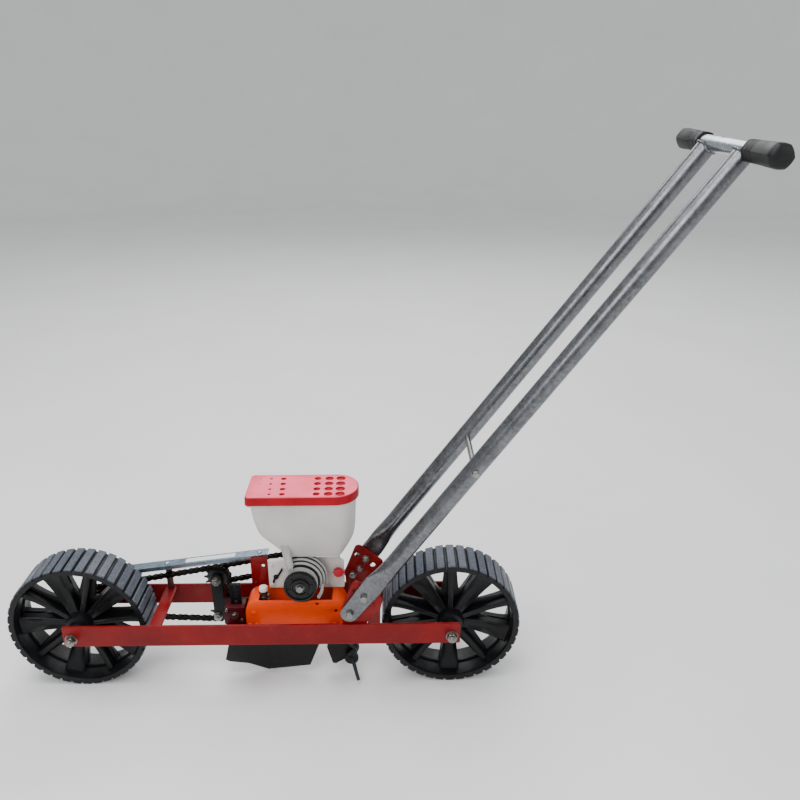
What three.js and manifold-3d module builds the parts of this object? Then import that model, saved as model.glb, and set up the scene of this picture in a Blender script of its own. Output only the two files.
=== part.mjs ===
// Push seeder: two lugged wheels in a flat-bar frame, chain-driven seed roller under a hopper,
// furrow opener, soil coverer and a twin-tube push handle. Millimetres, +Z up, ground at z = 0.
// Design coordinates put the front axle at x = 0; everything is shifted by originShiftX at the end.
import * as THREE from "three";
import { mergeVertices } from "three/addons/utils/BufferGeometryUtils.js";
import Module from "manifold-3d";

const wasm = await Module();
wasm.setup();

// Driving dimensions
const gap = 0.3;
const wheelbase = 550;
const wheelRadius = 102;
const wheelWidth = 60;
const lugCount = 40;
const lugHeight = 5;
const rimThickness = 5;
const spokeCount = 10;
const hubRadius = 19;
const hubHalfLength = 46;
const axleRadius = 6;
const runningClearance = 0.05;
const railOuterY = 54;
const railThickness = 4;
const railHeight = 34;
const railCentreZ = 106;
const railOverhang = 12;
const strapThickness = 4;
const strapTopZ = 95;
const chainPitch = 9.525;
const driveTeeth = 16;
const counterTeeth = 12;
const idlerTeeth = 8;
const rollerTeeth = 9;
const driveChainY = 38;
const rollerChainY = 45.5;
const shaftX = 331;
const shaftZ = 172;
const shaftRadius = 5;
const baseFrontX = 247;
const baseRearX = 395;
const baseTopZ = 141;
const baseHalfWidth = 20;
const sheet = 2;
const housingRadius = 36;
const knobRadius = 24;
const hopperTopZ = 307;
const hopperBottomZ = 210;
const lidThickness = 11;
const pivotX = 403;
const pivotZ = 142;
const handleAngle = 53.4;
const handleLength = 789;
const tubeRadius = 12.5;
const tubeWall = 1.5;
const tubeY = 58;
const barRadius = 10;
const barHalfLength = 150;
const gripRadius = 14.5;
const gripLength = 78.5;
const clampHoleRadius = 34.5;

// Derived sizes
const railInnerY = railOuterY - railThickness;
const railTopZ = railCentreZ + railHeight / 2;
const railBottomZ = railCentreZ - railHeight / 2;
const strapHalfLength = railInnerY - gap;
const axleZ = wheelRadius;
const boreRadius = axleRadius + runningClearance;
const lean = THREE.MathUtils.degToRad(handleAngle);
const barX = pivotX + handleLength * Math.cos(lean);
const barZ = pivotZ + handleLength * Math.sin(lean);
const originShiftX = -(barX + gripRadius - wheelRadius) / 2;
const pitchRadius = (teeth) => chainPitch / (2 * Math.sin(Math.PI / teeth));
const counterX = 196;
const counterZ = 144;
const stemFrontX = 222;
const stemRearX = 238;
const idlerX = 194;
const idlerZ = 80;

// Geometry helpers
function toManifold(geometry) {
  const plain = new THREE.BufferGeometry();
  plain.setAttribute("position", geometry.getAttribute("position").clone());
  if (geometry.index) plain.setIndex(geometry.index.clone());
  const merged = mergeVertices(plain, 1e-4);
  return new wasm.Manifold(new wasm.Mesh({
    numProp: 3,
    vertProperties: new Float32Array(merged.getAttribute("position").array),
    triVerts: new Uint32Array(merged.index.array),
  }));
}

function toGeometry(solid) {
  const mesh = solid.getMesh();
  const geometry = new THREE.BufferGeometry();
  const points = new Float32Array(mesh.numVert * 3);
  for (let i = 0; i < mesh.numVert; i += 1) {
    for (let k = 0; k < 3; k += 1) points[3 * i + k] = mesh.vertProperties[mesh.numProp * i + k];
  }
  geometry.setAttribute("position", new THREE.BufferAttribute(points, 3));
  geometry.setIndex(new THREE.BufferAttribute(new Uint32Array(mesh.triVerts), 1));
  geometry.computeVertexNormals();
  return geometry;
}

function block(x0, x1, y0, y1, z0, z1) {
  const box = new THREE.BoxGeometry(x1 - x0, y1 - y0, z1 - z0);
  box.translate((x0 + x1) / 2, (y0 + y1) / 2, (z0 + z1) / 2);
  return toManifold(box);
}

// Round bar along Y between two Y values
function rod(x, z, radius, y0, y1, sides = 28) {
  const bar = new THREE.CylinderGeometry(radius, radius, y1 - y0, sides);
  bar.translate(x, (y0 + y1) / 2, z);
  return toManifold(bar);
}

// Round bar along Z between two Z values
function post(x, y, radius, z0, z1, sides = 16) {
  const bar = new THREE.CylinderGeometry(radius, radius, z1 - z0, sides);
  bar.rotateX(Math.PI / 2);
  bar.translate(x, y, (z0 + z1) / 2);
  return toManifold(bar);
}

// Plate given by an outline in X and Z, thick along Y
function plate(outline, y0, y1) {
  const shape = new THREE.Shape(outline.map(([x, z]) => new THREE.Vector2(x, z)));
  const slab = new THREE.ExtrudeGeometry(shape, { depth: y1 - y0, bevelEnabled: false, steps: 1 });
  slab.rotateX(Math.PI / 2);
  slab.translate(0, y1, 0);
  return toManifold(slab);
}

function arc(cx, cz, radius, from, to, steps) {
  const points = [];
  for (let i = 0; i <= steps; i += 1) {
    const a = THREE.MathUtils.degToRad(from + (to - from) * i / steps);
    points.push([cx + radius * Math.cos(a), cz + radius * Math.sin(a)]);
  }
  return points;
}

function convexOutline(points) {
  const sorted = [...points].sort((a, b) => a[0] - b[0] || a[1] - b[1]);
  const turn = (o, a, b) => (a[0] - o[0]) * (b[1] - o[1]) - (a[1] - o[1]) * (b[0] - o[0]);
  const half = (list) => {
    const chain = [];
    for (const p of list) {
      while (chain.length > 1 && turn(chain[chain.length - 2], chain[chain.length - 1], p) <= 1e-9) {
        chain.pop();
      }
      chain.push(p);
    }
    return chain.slice(0, -1);
  };
  return [...half(sorted), ...half(sorted.reverse())];
}

// Solid lofted through rings of equal point count, closed at both ends
function loft(rings) {
  const count = rings[0].length;
  const positions = [];
  const index = [];
  for (const ring of rings) for (const p of ring) positions.push(...p);
  for (let r = 0; r + 1 < rings.length; r += 1) {
    for (let i = 0; i < count; i += 1) {
      const a = r * count + i;
      const b = r * count + (i + 1) % count;
      index.push(a, b, b + count, a, b + count, a + count);
    }
  }
  for (const [r, flip] of [[0, true], [rings.length - 1, false]]) {
    const centre = positions.length / 3;
    const middle = [0, 0, 0];
    for (const p of rings[r]) for (let k = 0; k < 3; k += 1) middle[k] += p[k] / count;
    positions.push(...middle);
    for (let i = 0; i < count; i += 1) {
      const a = r * count + i;
      const b = r * count + (i + 1) % count;
      index.push(centre, flip ? b : a, flip ? a : b);
    }
  }
  const geometry = new THREE.BufferGeometry();
  geometry.setAttribute("position", new THREE.BufferAttribute(new Float32Array(positions), 3));
  geometry.setIndex(index);
  return toManifold(geometry);
}

const group = new THREE.Group();
group.name = "push_seeder";

function addPart(name, solid, color, roughness = 0.5, metalness = 0.1, opacity = 1) {
  const material = new THREE.MeshStandardMaterial({ color, roughness, metalness, name });
  if (opacity < 1) {
    material.transparent = true;
    material.opacity = opacity;
  }
  const mesh = new THREE.Mesh(toGeometry(solid.translate([originShiftX, 0, 0])), material);
  mesh.name = name;
  group.add(mesh);
}

const paintRed = 0xa11218;
const paintOrange = 0xe24a08;
const blackPlastic = 0x151517;
const zinc = 0xa9adb0;
const steel = 0x7f8386;
const milky = 0xe2e2de;
const lidRed = 0xd2101f;

// Wheel: lugged rim, thin web with a window between every two spokes, and a hub
function wheel(axleX, firstSpoke) {
  const outline = [];
  const rimRadius = wheelRadius - lugHeight;
  const tipRadius = wheelRadius / Math.cos(Math.PI / 90);
  for (let i = 0; i < lugCount; i += 1) {
    const middle = -90 + 360 * i / lugCount;
    for (const [offset, radius] of [[-2.9, rimRadius], [-2, tipRadius], [2, tipRadius], [2.9, rimRadius]]) {
      outline.push(...arc(0, 0, radius, middle + offset, middle + offset, 1).slice(1));
    }
  }
  const innerRadius = rimRadius - rimThickness;
  let solid = plate(outline, -wheelWidth / 2, wheelWidth / 2);
  solid = solid.subtract(rod(0, 0, innerRadius, -wheelWidth, wheelWidth, 40));
  let web = rod(0, 0, innerRadius + 1, -4, 4, 40);
  for (let i = 0; i < spokeCount; i += 1) {
    const middle = firstSpoke + 360 * (i + 0.5) / spokeCount;
    const rimSide = arc(0, 0, innerRadius - 3, middle - 11.5, middle + 11.5, 2);
    const hubSide = arc(0, 0, 50, middle + 2.5, middle - 2.5, 1);
    web = web.subtract(plate([...rimSide, ...hubSide], -10, 10));
  }
  solid = solid.add(web);
  solid = solid.add(rod(0, 0, hubRadius, -wheelWidth / 2, wheelWidth / 2 + 2, 20));
  solid = solid.add(rod(0, 0, hubRadius - 6, -hubHalfLength, 0, 20));
  return solid.translate([axleX, 0, axleZ]);
}

const axleHole = (x, y0, y1) => rod(x, axleZ, boreRadius, y0, y1, 32);
addPart("front_wheel", wheel(0, 75.6).subtract(axleHole(0, -60, 60)), blackPlastic, 0.55);
const rearHubEnd = rod(wheelbase, axleZ, hubRadius - 6, 0, hubHalfLength);
const rearWheel = wheel(wheelbase, 90).add(rearHubEnd);
addPart("rear_wheel", rearWheel.subtract(axleHole(wheelbase, -60, 60)), blackPlastic, 0.55);

// Hexagon head or nut standing along Y
function hexagon(x, z, acrossFlats, y0, y1) {
  const corner = acrossFlats / Math.sqrt(3);
  return plate(arc(x, z, corner, 0, 300, 5), y0, y1);
}

// Axle bolts: head outside the right rail, shank through both rails, nut outside the left rail
for (const [place, x] of [["front", 0], ["rear", wheelbase]]) {
  const head = hexagon(x, axleZ, 18, railOuterY + gap, railOuterY + 8);
  const shank = rod(x, axleZ, axleRadius, -railOuterY - 13, railOuterY + 2, 32);
  addPart(`${place}_axle`, head.add(shank), zinc, 0.35, 0.9);
  const nutHole = rod(x, axleZ, axleRadius + gap, -90, 0, 20);
  const nut = hexagon(x, axleZ, 18, -railOuterY - 10, -railOuterY - gap).subtract(nutHole);
  addPart(`${place}_axle_nut`, nut, zinc, 0.35, 0.9);
}

// Frame rails: flat bars on edge, outside both wheels
for (const [side, sign] of [["left", -1], ["right", 1]]) {
  const y0 = sign < 0 ? -railOuterY : railInnerY;
  let rail = block(-railOverhang, wheelbase + railOverhang, y0, y0 + railThickness, railBottomZ, railTopZ);
  for (const x of [0, wheelbase]) rail = rail.subtract(rod(x, axleZ, axleRadius + gap, -70, 70, 20));
  addPart(`rail_${side}`, rail, paintRed, 0.45, 0.2);
}

// Cross straps between the rails
const strap = (x0, x1, topZ) => (
  block(x0, x1, -strapHalfLength, strapHalfLength, topZ - strapThickness, topZ));
addPart("front_cross", strap(112, 130, 121), paintRed, 0.45, 0.2);
const stemSlot = block(stemFrontX - gap, stemRearX + gap, -3, 3, 20, 130);
addPart("middle_cross", strap(215, 262, strapTopZ).subtract(stemSlot), paintRed, 0.45, 0.2);
addPart("base_cross", strap(370, 391, strapTopZ), paintRed, 0.45, 0.2);
addPart("rear_cross", strap(428, 446, 121), paintRed, 0.45, 0.2);

// Roller base: open-topped sheet tray with rounded upper corners and a saddle in its near side
function trayOutline(inset) {
  const corner = 20 - inset;
  const x0 = baseFrontX + inset;
  const x1 = baseRearX - inset;
  const z1 = baseTopZ - inset;
  return [
    [x0, strapTopZ + gap + inset],
    [x1, strapTopZ + gap + inset],
    ...arc(x1 - corner, z1 - corner, corner, 0, 90, 6),
    ...arc(x0 + corner, z1 - corner, corner, 90, 180, 6),
  ];
}
let tray = plate(trayOutline(0), -baseHalfWidth, baseHalfWidth);
tray = tray.subtract(plate(trayOutline(sheet), -baseHalfWidth + sheet, baseHalfWidth - sheet));
tray = tray.subtract(block(baseFrontX + 20, baseRearX - 20, -18, 18, 120, 160));
tray = tray.subtract(rod(shaftX, shaftZ, housingRadius + 1, -30, 0, 40));
tray = tray.subtract(block(shaftX - 12, shaftX + 12, -12, 12, 90, 110));
addPart("roller_base", tray, paintOrange, 0.4, 0.1);

// Roller housing: clear drum around the seed roller, open to the hopper above and to the chute below
const drumNearY = -baseHalfWidth + sheet + gap;
const drumFarY = 12;
let drum = rod(shaftX, shaftZ, housingRadius, drumNearY, drumFarY, 40);
drum = drum.subtract(rod(shaftX, shaftZ, housingRadius - 3, drumNearY + 3, drumFarY - 3, 40));
drum = drum.subtract(rod(shaftX, shaftZ, shaftRadius + runningClearance, -50, 50, 32));
drum = drum.add(block(shaftX - 24, shaftX + 24, drumNearY, drumFarY, 190, hopperBottomZ - gap));
drum = drum.subtract(rod(shaftX, shaftZ, housingRadius - 3, drumNearY + 3, drumFarY - 3, 40));
drum = drum.subtract(block(shaftX - 20, shaftX + 20, drumNearY + 3, drumFarY - 3, 180, 220));
drum = drum.add(block(shaftX - 9, shaftX + 9, -6, 6, 66, 141));
drum = drum.subtract(block(shaftX - 7, shaftX + 7, -4, 4, 60, 150));
addPart("roller_housing", drum, 0xd8d8d4, 0.2, 0, 0.45);

// Seed roller and its shaft, hand knob and sprocket
const rollerBore = rod(shaftX, shaftZ, shaftRadius + gap, -60, 60, 32);
const rollerBody = rod(shaftX, shaftZ, 30, drumNearY + 4, drumFarY - 4, 40);
addPart("seed_roller", rollerBody.subtract(rollerBore), milky, 0.5);
addPart("roller_shaft", rod(shaftX, shaftZ, shaftRadius, -36, 49, 32), zinc, 0.3, 0.9);
let knob = rod(shaftX, shaftZ, knobRadius, -34, -25, 32).add(rod(shaftX, shaftZ, 12, -25, -21, 20));
knob = knob.subtract(rod(shaftX, shaftZ, knobRadius - 3, -40, -31, 32));
knob = knob.add(rod(shaftX, shaftZ, 10, -33.5, -28, 20)).subtract(rollerBore);
addPart("roller_knob", knob, blackPlastic, 0.5);

// Hopper back: white plate behind the drum, standing on the far side of the tray under the hopper
const backOutline = [
  [279, baseTopZ + gap], [392, baseTopZ + gap], [392, 186], [386, 190],
  [386, hopperBottomZ - gap], [306, hopperBottomZ - gap], [306, 190], [279, 188],
];
let hopperBack = plate(backOutline, drumFarY + gap, baseHalfWidth - gap);
hopperBack = hopperBack.subtract(rod(shaftX, shaftZ, shaftRadius + runningClearance, -50, 50, 32));
addPart("hopper_back", hopperBack, milky, 0.5);

// Hopper: flat front end, rounded rear end, tapering to a neck over the drum
function hopperRing(x0, x1, halfY, z, corner) {
  const ring = [];
  const end = Math.min(halfY * 0.92, (x1 - x0) / 2);
  const quarter = (cx, cy, radius, from) => {
    for (let i = 0; i <= 4; i += 1) {
      const a = THREE.MathUtils.degToRad(from + 22.5 * i);
      ring.push([cx + radius * Math.cos(a), cy + radius * Math.sin(a), z]);
    }
  };
  quarter(x0 + corner, -halfY + corner, corner, 180);
  quarter(x1 - end, -halfY + end, end, 270);
  quarter(x1 - end, halfY - end, end, 0);
  quarter(x0 + corner, halfY - corner, corner, 90);
  return ring;
}
const hopperLevels = [
  [305, 388, 15, hopperBottomZ],
  [300, 391, 17, 218],
  [288, 404, 23, 242],
  [277, 409, 28, 267],
  [271, 412, 31, 285],
  [269, 414, 32, hopperTopZ],
];
const outerRings = hopperLevels.map(([x0, x1, y, z]) => hopperRing(x0, x1, y, z, 6));
const innerLevels = hopperLevels.map(([x0, x1, y, z]) => hopperRing(x0 + 2, x1 - 2, y - 2, z, 4));
innerLevels[0] = hopperRing(307, 386, 13, hopperBottomZ + 2, 4);
innerLevels[innerLevels.length - 1] = hopperRing(271, 412, 30, hopperTopZ + 5, 4);
let hopper = loft(outerRings);
hopper = hopper.add(loft([hopperRing(262, 416, 34, 304, 6), hopperRing(262, 416, 34, hopperTopZ, 6)]));
hopper = hopper.subtract(loft(innerLevels));
hopper = hopper.subtract(block(shaftX - 20, shaftX + 20, drumNearY + 3, drumFarY - 3, 200, 216));
addPart("hopper", hopper, milky, 0.35, 0, 0.85);

// Lid: D-shaped cap over the hopper flange
const lidBottom = hopperTopZ + gap;
const lidTop = lidBottom + lidThickness + 2;
let lid = loft([hopperRing(261, 418, 36, lidBottom, 6), hopperRing(262, 417, 35, lidTop, 6)]);
lid = lid.subtract(loft([hopperRing(267, 410, 28, 300, 6), hopperRing(267, 410, 28, lidTop - 3, 6)]));
addPart("hopper_lid", lid, lidRed, 0.35);

// Hold-down screw standing in the front of the tray
const screw = post(272, 0, 4, 98, 150).add(post(272, 0, 7, 147, 153)).add(post(272, 0, 8, 97.6, 104));
addPart("hold_down_screw", screw, zinc, 0.3, 0.8);

// Latch knob on the hopper back
const latchX = 384;
const latchZ = 172;
const latchTab = block(latchX - 3, latchX + 10, 5, 10, latchZ - 2, latchZ + 2);
const latchBody = rod(latchX, latchZ, 7, 3, 12, 24).add(latchTab);
addPart("latch_knob", latchBody, lidRed, 0.4);

// Handle brackets: plates inside the rails with a row of angle holes round the pivot
const bracketOutline = [
  [393, railBottomZ + 2],
  [424, railBottomZ + 2],
  [427.5, 124],
  [447, 146],
  ...arc(441, 161, 9, -20, 60, 4),
  [418, 191],
  ...arc(413, 186, 7, 60, 160, 4),
  [391, 148],
];
const pivotHole = rod(pivotX, pivotZ, 4 + gap, -90, 90, 16);
for (const [side, sign] of [["left", -1], ["right", 1]]) {
  const outer = sign * (railInnerY - gap);
  const inner = outer - sign * 3.5;
  let bracket = plate(bracketOutline, Math.min(outer, inner), Math.max(outer, inner)).subtract(pivotHole);
  for (const angle of [27, handleAngle, 77]) {
    const a = THREE.MathUtils.degToRad(angle);
    const x = pivotX + clampHoleRadius * Math.cos(a);
    const z = pivotZ + clampHoleRadius * Math.sin(a);
    bracket = bracket.subtract(rod(x, z, 4 + gap, -90, 90, 16));
  }
  addPart(`bracket_${side}`, bracket, paintRed, 0.45, 0.2);
}

// Handle tube: round tube whose lower end is pressed flat against the bracket
function tubeSection(along, halfWidth, halfThick, y) {
  const ring = [];
  for (let i = 0; i < 16; i += 1) {
    const a = 2 * Math.PI * i / 16;
    const across = -halfWidth * Math.cos(a);
    const x = pivotX + along * Math.cos(lean) - across * Math.sin(lean);
    const z = pivotZ + along * Math.sin(lean) + across * Math.cos(lean);
    ring.push([x, y + halfThick * Math.sin(a), z]);
  }
  return ring;
}
function alongHandle(along) {
  return [pivotX + along * Math.cos(lean), pivotZ + along * Math.sin(lean)];
}
const [clampX, clampZ] = alongHandle(clampHoleRadius);
const flatY = railInnerY + 2.5;
for (const [side, sign] of [["left", -1], ["right", 1]]) {
  const stations = [
    [-13.5, 5, 2.2, flatY], [-9.5, 10.5, 2.5, flatY], [-3, 13.3, 2.5, flatY], [28, 14.3, 2.5, flatY],
    [52, 15.8, 2.5, flatY], [70, 14.5, 7, 56.5], [92, tubeRadius, tubeRadius, tubeY],
    [handleLength, tubeRadius, tubeRadius, tubeY],
  ];
  const rings = stations.map(([t, w, h, y]) => tubeSection(t, w, h, sign * y));
  let tube = loft(rings);
  const hollow = tubeRadius - tubeWall;
  const holeRings = [97, handleLength + 5].map((t) => tubeSection(t, hollow, hollow, sign * tubeY));
  tube = tube.subtract(loft(holeRings));
  tube = tube.subtract(rod(barX, barZ, barRadius + gap, -100, 100, 28));
  tube = tube.subtract(rod(pivotX, pivotZ, 4 + runningClearance, -90, 90, 32));
  tube = tube.subtract(rod(clampX, clampZ, 4 + gap, -90, 90, 16));
  const [braceX, braceZ] = alongHandle(287);
  tube = tube.subtract(rod(braceX, braceZ, 4 + gap, -90, 90, 16));
  addPart(`handle_tube_${side}`, tube, zinc, 0.35, 0.85);

  // Pivot bolt through tube and bracket, and the angle clamp bolt that travels with the tube
  const y = (near, far) => [Math.min(sign * near, sign * far), Math.max(sign * near, sign * far)];
  const pivotHead = hexagon(pivotX, pivotZ, 12, ...y(55 + gap, 60));
  const pivotShank = rod(pivotX, pivotZ, 4, ...y(41, 57), 32);
  const pivotNut = hexagon(pivotX, pivotZ, 12, ...y(41, 45.8));
  addPart(`pivot_bolt_${side}`, pivotHead.add(pivotShank).add(pivotNut), zinc, 0.3, 0.9);
  const clampHead = hexagon(clampX, clampZ, 12, ...y(55 + gap, 60));
  const clampShank = rod(clampX, clampZ, 4, ...y(50.2, 57), 32);
  addPart(`clamp_bolt_${side}`, clampHead.add(clampShank), zinc, 0.3, 0.9);
}

// Brace rod through both tubes
const [rodX, rodZ] = alongHandle(287);
addPart("brace_rod", rod(rodX, rodZ, 4, -tubeY - 17, tubeY + 17, 24), zinc, 0.3, 0.9);

// Handlebar and grips
const barEnd = barHalfLength - 4;
addPart("handlebar", rod(barX, barZ, barRadius, -barEnd, barEnd, 28), zinc, 0.35, 0.85);
for (const [side, sign] of [["left", -1], ["right", 1]]) {
  const end = barHalfLength;
  const start = end - gripLength;
  const profile = [[start, 11], [start, 13.3], [start + 3, gripRadius], [end - 5, gripRadius], [end, 11]];
  const rings = profile.map(([y, radius]) => {
    const ring = [];
    for (let i = 0; i < 20; i += 1) {
      const a = sign * 2 * Math.PI * i / 20;
      ring.push([barX + radius * Math.sin(a), sign * y, barZ + radius * Math.cos(a)]);
    }
    return ring;
  });
  const bore = rod(barX, barZ, barRadius + gap, -barEnd - gap, barEnd + gap, 28);
  addPart(`grip_${side}`, loft(rings).subtract(bore), blackPlastic, 0.8);
}

// Sprocket: toothed disc with a bore, thick along Y
function sprocket(x, z, teeth, y, bore, phase) {
  const tip = pitchRadius(teeth) - 2.6;
  const outline = [];
  for (let i = 0; i < teeth; i += 1) {
    const middle = phase + 360 * i / teeth;
    const share = 360 / teeth;
    for (const [part, radius] of [[-0.32, tip - 3], [-0.12, tip], [0.12, tip], [0.32, tip - 3]]) {
      outline.push(...arc(x, z, radius, middle + part * share, middle + part * share, 1).slice(1));
    }
  }
  return plate(outline, y - 1.5, y + 1.5).subtract(rod(x, z, bore, -90, 90, 32));
}

// Drive sprocket on the front wheel hub
let driveSprocket = sprocket(0, axleZ, driveTeeth, driveChainY, boreRadius, 0);
const driveBoss = rod(0, axleZ, 12, wheelWidth / 2 + 2 + gap, hubHalfLength, 20);
driveSprocket = driveSprocket.add(driveBoss).subtract(axleHole(0, 0, 90));
addPart("drive_sprocket", driveSprocket, steel, 0.4, 0.8);

// Bearing plate that carries the countershaft and the idler, footed on the right rail
const bearingY = 28;
const bearingOutline = [
  [187, 70], [201, 70], [204, 96], [246, 96], [246, 112], [206, 114],
  ...arc(counterX, counterZ + 1, 9, 0, 180, 6),
];
let bearingPlate = plate(bearingOutline, bearingY, bearingY + 3);
bearingPlate = bearingPlate.add(block(224, 246, bearingY, strapHalfLength, 96, 99));
bearingPlate = bearingPlate.subtract(rod(counterX, counterZ, 4 + runningClearance, 0, 90, 32));
bearingPlate = bearingPlate.subtract(rod(idlerX, idlerZ, 4 + gap, 0, 90, 32));
addPart("bearing_plate", bearingPlate, 0x1b1b1e, 0.5, 0.6);

// Countershaft with the chain wheel from the front wheel and the chain wheel to the roller
const counterHead = rod(counterX, counterZ, 8, bearingY - 4, bearingY - gap, 24);
addPart("countershaft", rod(counterX, counterZ, 4, bearingY - 4, 49, 32).add(counterHead), zinc, 0.3, 0.9);
const shaftGap = 4 + gap;
const counterSprocket = sprocket(counterX, counterZ, counterTeeth, driveChainY, shaftGap, 0);
addPart("counter_sprocket", counterSprocket, steel, 0.4, 0.8);
const transferSprocket = sprocket(counterX, counterZ, rollerTeeth, rollerChainY, shaftGap, 0);
addPart("transfer_sprocket", transferSprocket, steel, 0.4, 0.8);
const rollerSprocket = sprocket(shaftX, shaftZ, rollerTeeth, rollerChainY, shaftRadius + gap, 0);
addPart("roller_sprocket", rollerSprocket, steel, 0.4, 0.8);
addPart("idler_stud", rod(idlerX, idlerZ, 4, bearingY - 4, 43, 32), zinc, 0.3, 0.9);
const idlerBore = 4 + runningClearance;
addPart("idler_sprocket", sprocket(idlerX, idlerZ, idlerTeeth, driveChainY, idlerBore, 0), steel, 0.4, 0.8);

// Chain: closed band standing for the links, wrapped round its sprockets
function chainBand(wheels, y) {
  const ring = (offset) => convexOutline(wheels.flatMap(([x, z, teeth]) => (
    arc(x, z, pitchRadius(teeth) + offset, 0, 350, 35))));
  return plate(ring(2.2), y - 2.8, y + 2.8).subtract(plate(ring(-2.2), y - 5, y + 5));
}
const driveLoop = [
  [0, axleZ, driveTeeth],
  [counterX, counterZ, counterTeeth],
  [idlerX, idlerZ, idlerTeeth],
];
addPart("drive_chain", chainBand(driveLoop, driveChainY), 0x2b2622, 0.5, 0.7);
const rollerLoop = [[counterX, counterZ, rollerTeeth], [shaftX, shaftZ, rollerTeeth]];
addPart("roller_chain", chainBand(rollerLoop, rollerChainY), 0x2b2622, 0.5, 0.7);

// Chain cover: inclined plate with a turned-down near edge, over the drive chain
const coverRise = (x) => 164 + 0.127 * (x - 83);
const coverFrontX = 20;
const coverRearX = 276;
const coverStrip = (drop) => [
  [coverFrontX, coverRise(coverFrontX) - drop],
  [coverRearX, coverRise(coverRearX) - drop],
  [coverRearX, coverRise(coverRearX)],
  [coverFrontX, coverRise(coverFrontX)],
];
const coverLip = plate(coverStrip(6), 31, 32.5);
addPart("chain_cover", plate(coverStrip(1.5), 31, 48.5).add(coverLip), zinc, 0.3, 0.8);

// Cover post beside the tray, and the stay at the front of the cover
const coverPost = plate([[250, 95 + gap], [262, 95 + gap], [276, 112], [276, 186], [250, 183]], 28.2, 30.7);
addPart("cover_post", coverPost.add(block(250, 262, 28.2, 46, 95 + gap, 98)), paintOrange, 0.4, 0.1);
const stayTop = coverRise(116) - 1.5 - gap;
addPart("cover_stay", block(116, 126, 44, 46.5, 121 + gap, stayTop), zinc, 0.35, 0.8);

// Furrow opener: wedge-fronted shoe, open below for the seed, on a flat stem held in a clamp
const shoeTop = 76;
const shoeOutline = [
  [219, shoeTop], [206, 21], [212, 18], [242, 17], [273, 8], [337, 15], [349, 46], [361, shoeTop],
];
const wedge = (z) => [[196, -1.5, z], [270, -9, z], [380, -9, z], [380, 9, z], [270, 9, z], [196, 1.5, z]];
let shoe = plate(shoeOutline, -9, 9).intersect(loft([wedge(-5), wedge(100)]));
shoe = shoe.subtract(block(286, 346, -7, 7, -5, 100));
shoe = shoe.subtract(stemSlot.intersect(block(200, 260, -9, 9, 30, 200)));
addPart("opener_shoe", shoe, 0x1b1b1e, 0.5, 0.6);
addPart("opener_stem", block(stemFrontX, stemRearX, -2.7, 2.7, 30 + gap, 158), 0x232326, 0.5, 0.6);
const clampBlock = block(214, 244, -12, 12, strapTopZ + gap, 124);
addPart("opener_clamp", clampBlock.subtract(stemSlot), 0x6e0f16, 0.5, 0.2);
const clampScrew = hexagon(230, 112, 10, -18, -12 - gap);
addPart("clamp_screw", clampScrew, zinc, 0.3, 0.9);

// Soil coverer: arm under the base strap and a swinging two-legged drag on a pin
const dragX = 401;
const dragZ = 31;
const armOutline = [
  [373, strapTopZ - strapThickness - gap], [371, 70], [363, 44], [371, 14], [376, 13], [392, 23],
  ...arc(dragX, dragZ, 8, -90, 60, 5), [384, 60], [390, strapTopZ - strapThickness - gap],
];
const dragHole = rod(dragX, dragZ, 4 + runningClearance, -20, 20, 32);
addPart("coverer_arm", plate(armOutline, -4, 4).subtract(dragHole), 0x1b1b1e, 0.5, 0.6);

// Round bar between two points
function bar(from, to, radius) {
  const start = new THREE.Vector3(...from);
  const end = new THREE.Vector3(...to);
  const length = start.distanceTo(end);
  const cylinder = new THREE.CylinderGeometry(radius, radius, length, 12);
  const up = new THREE.Vector3(0, 1, 0);
  const turn = new THREE.Quaternion().setFromUnitVectors(up, end.clone().sub(start).normalize());
  cylinder.applyQuaternion(turn);
  cylinder.translate(...start.add(end).multiplyScalar(0.5).toArray());
  return toManifold(cylinder);
}
let drag = rod(dragX, dragZ, 4, -10, 10, 32);
drag = drag.add(rod(dragX, dragZ, 9, -16, -4 - gap, 20)).add(rod(dragX, dragZ, 9, 4 + gap, 16, 20));
drag = drag.add(bar([403, -12, 26], [412, -34, 6], 3)).add(bar([399, 12, 26], [388, 30, 7], 3));
addPart("soil_coverer", drag, 0x5a5d60, 0.5, 0.6);

export default group;
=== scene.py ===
import math

import bmesh
import bpy
from mathutils import Matrix, Vector


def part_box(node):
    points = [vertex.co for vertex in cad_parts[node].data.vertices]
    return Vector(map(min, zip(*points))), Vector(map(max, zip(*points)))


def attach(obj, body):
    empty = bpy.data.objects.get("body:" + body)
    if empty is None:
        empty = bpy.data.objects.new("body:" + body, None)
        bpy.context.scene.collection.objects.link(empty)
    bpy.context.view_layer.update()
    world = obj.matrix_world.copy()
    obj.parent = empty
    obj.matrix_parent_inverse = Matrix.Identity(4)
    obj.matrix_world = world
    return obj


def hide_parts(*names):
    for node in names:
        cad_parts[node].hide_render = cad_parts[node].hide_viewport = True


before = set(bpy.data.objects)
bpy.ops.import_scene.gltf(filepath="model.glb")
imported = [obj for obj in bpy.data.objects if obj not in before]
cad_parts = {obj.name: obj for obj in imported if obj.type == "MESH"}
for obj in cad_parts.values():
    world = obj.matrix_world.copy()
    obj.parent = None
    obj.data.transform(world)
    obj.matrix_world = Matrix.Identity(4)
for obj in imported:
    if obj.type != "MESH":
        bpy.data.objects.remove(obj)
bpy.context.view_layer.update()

MM = 0.001  # shapes are built in millimetres and become metres in mesh_of
AXIS = 5e-4  # radius that stands for a point on an axis, and merges into one


# ---- places taken from the frame
def low(node):
    return Vector(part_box(node)[0]) / MM


def high(node):
    return Vector(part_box(node)[1]) / MM


def middle(node):
    return (low(node) + high(node)) / 2


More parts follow.
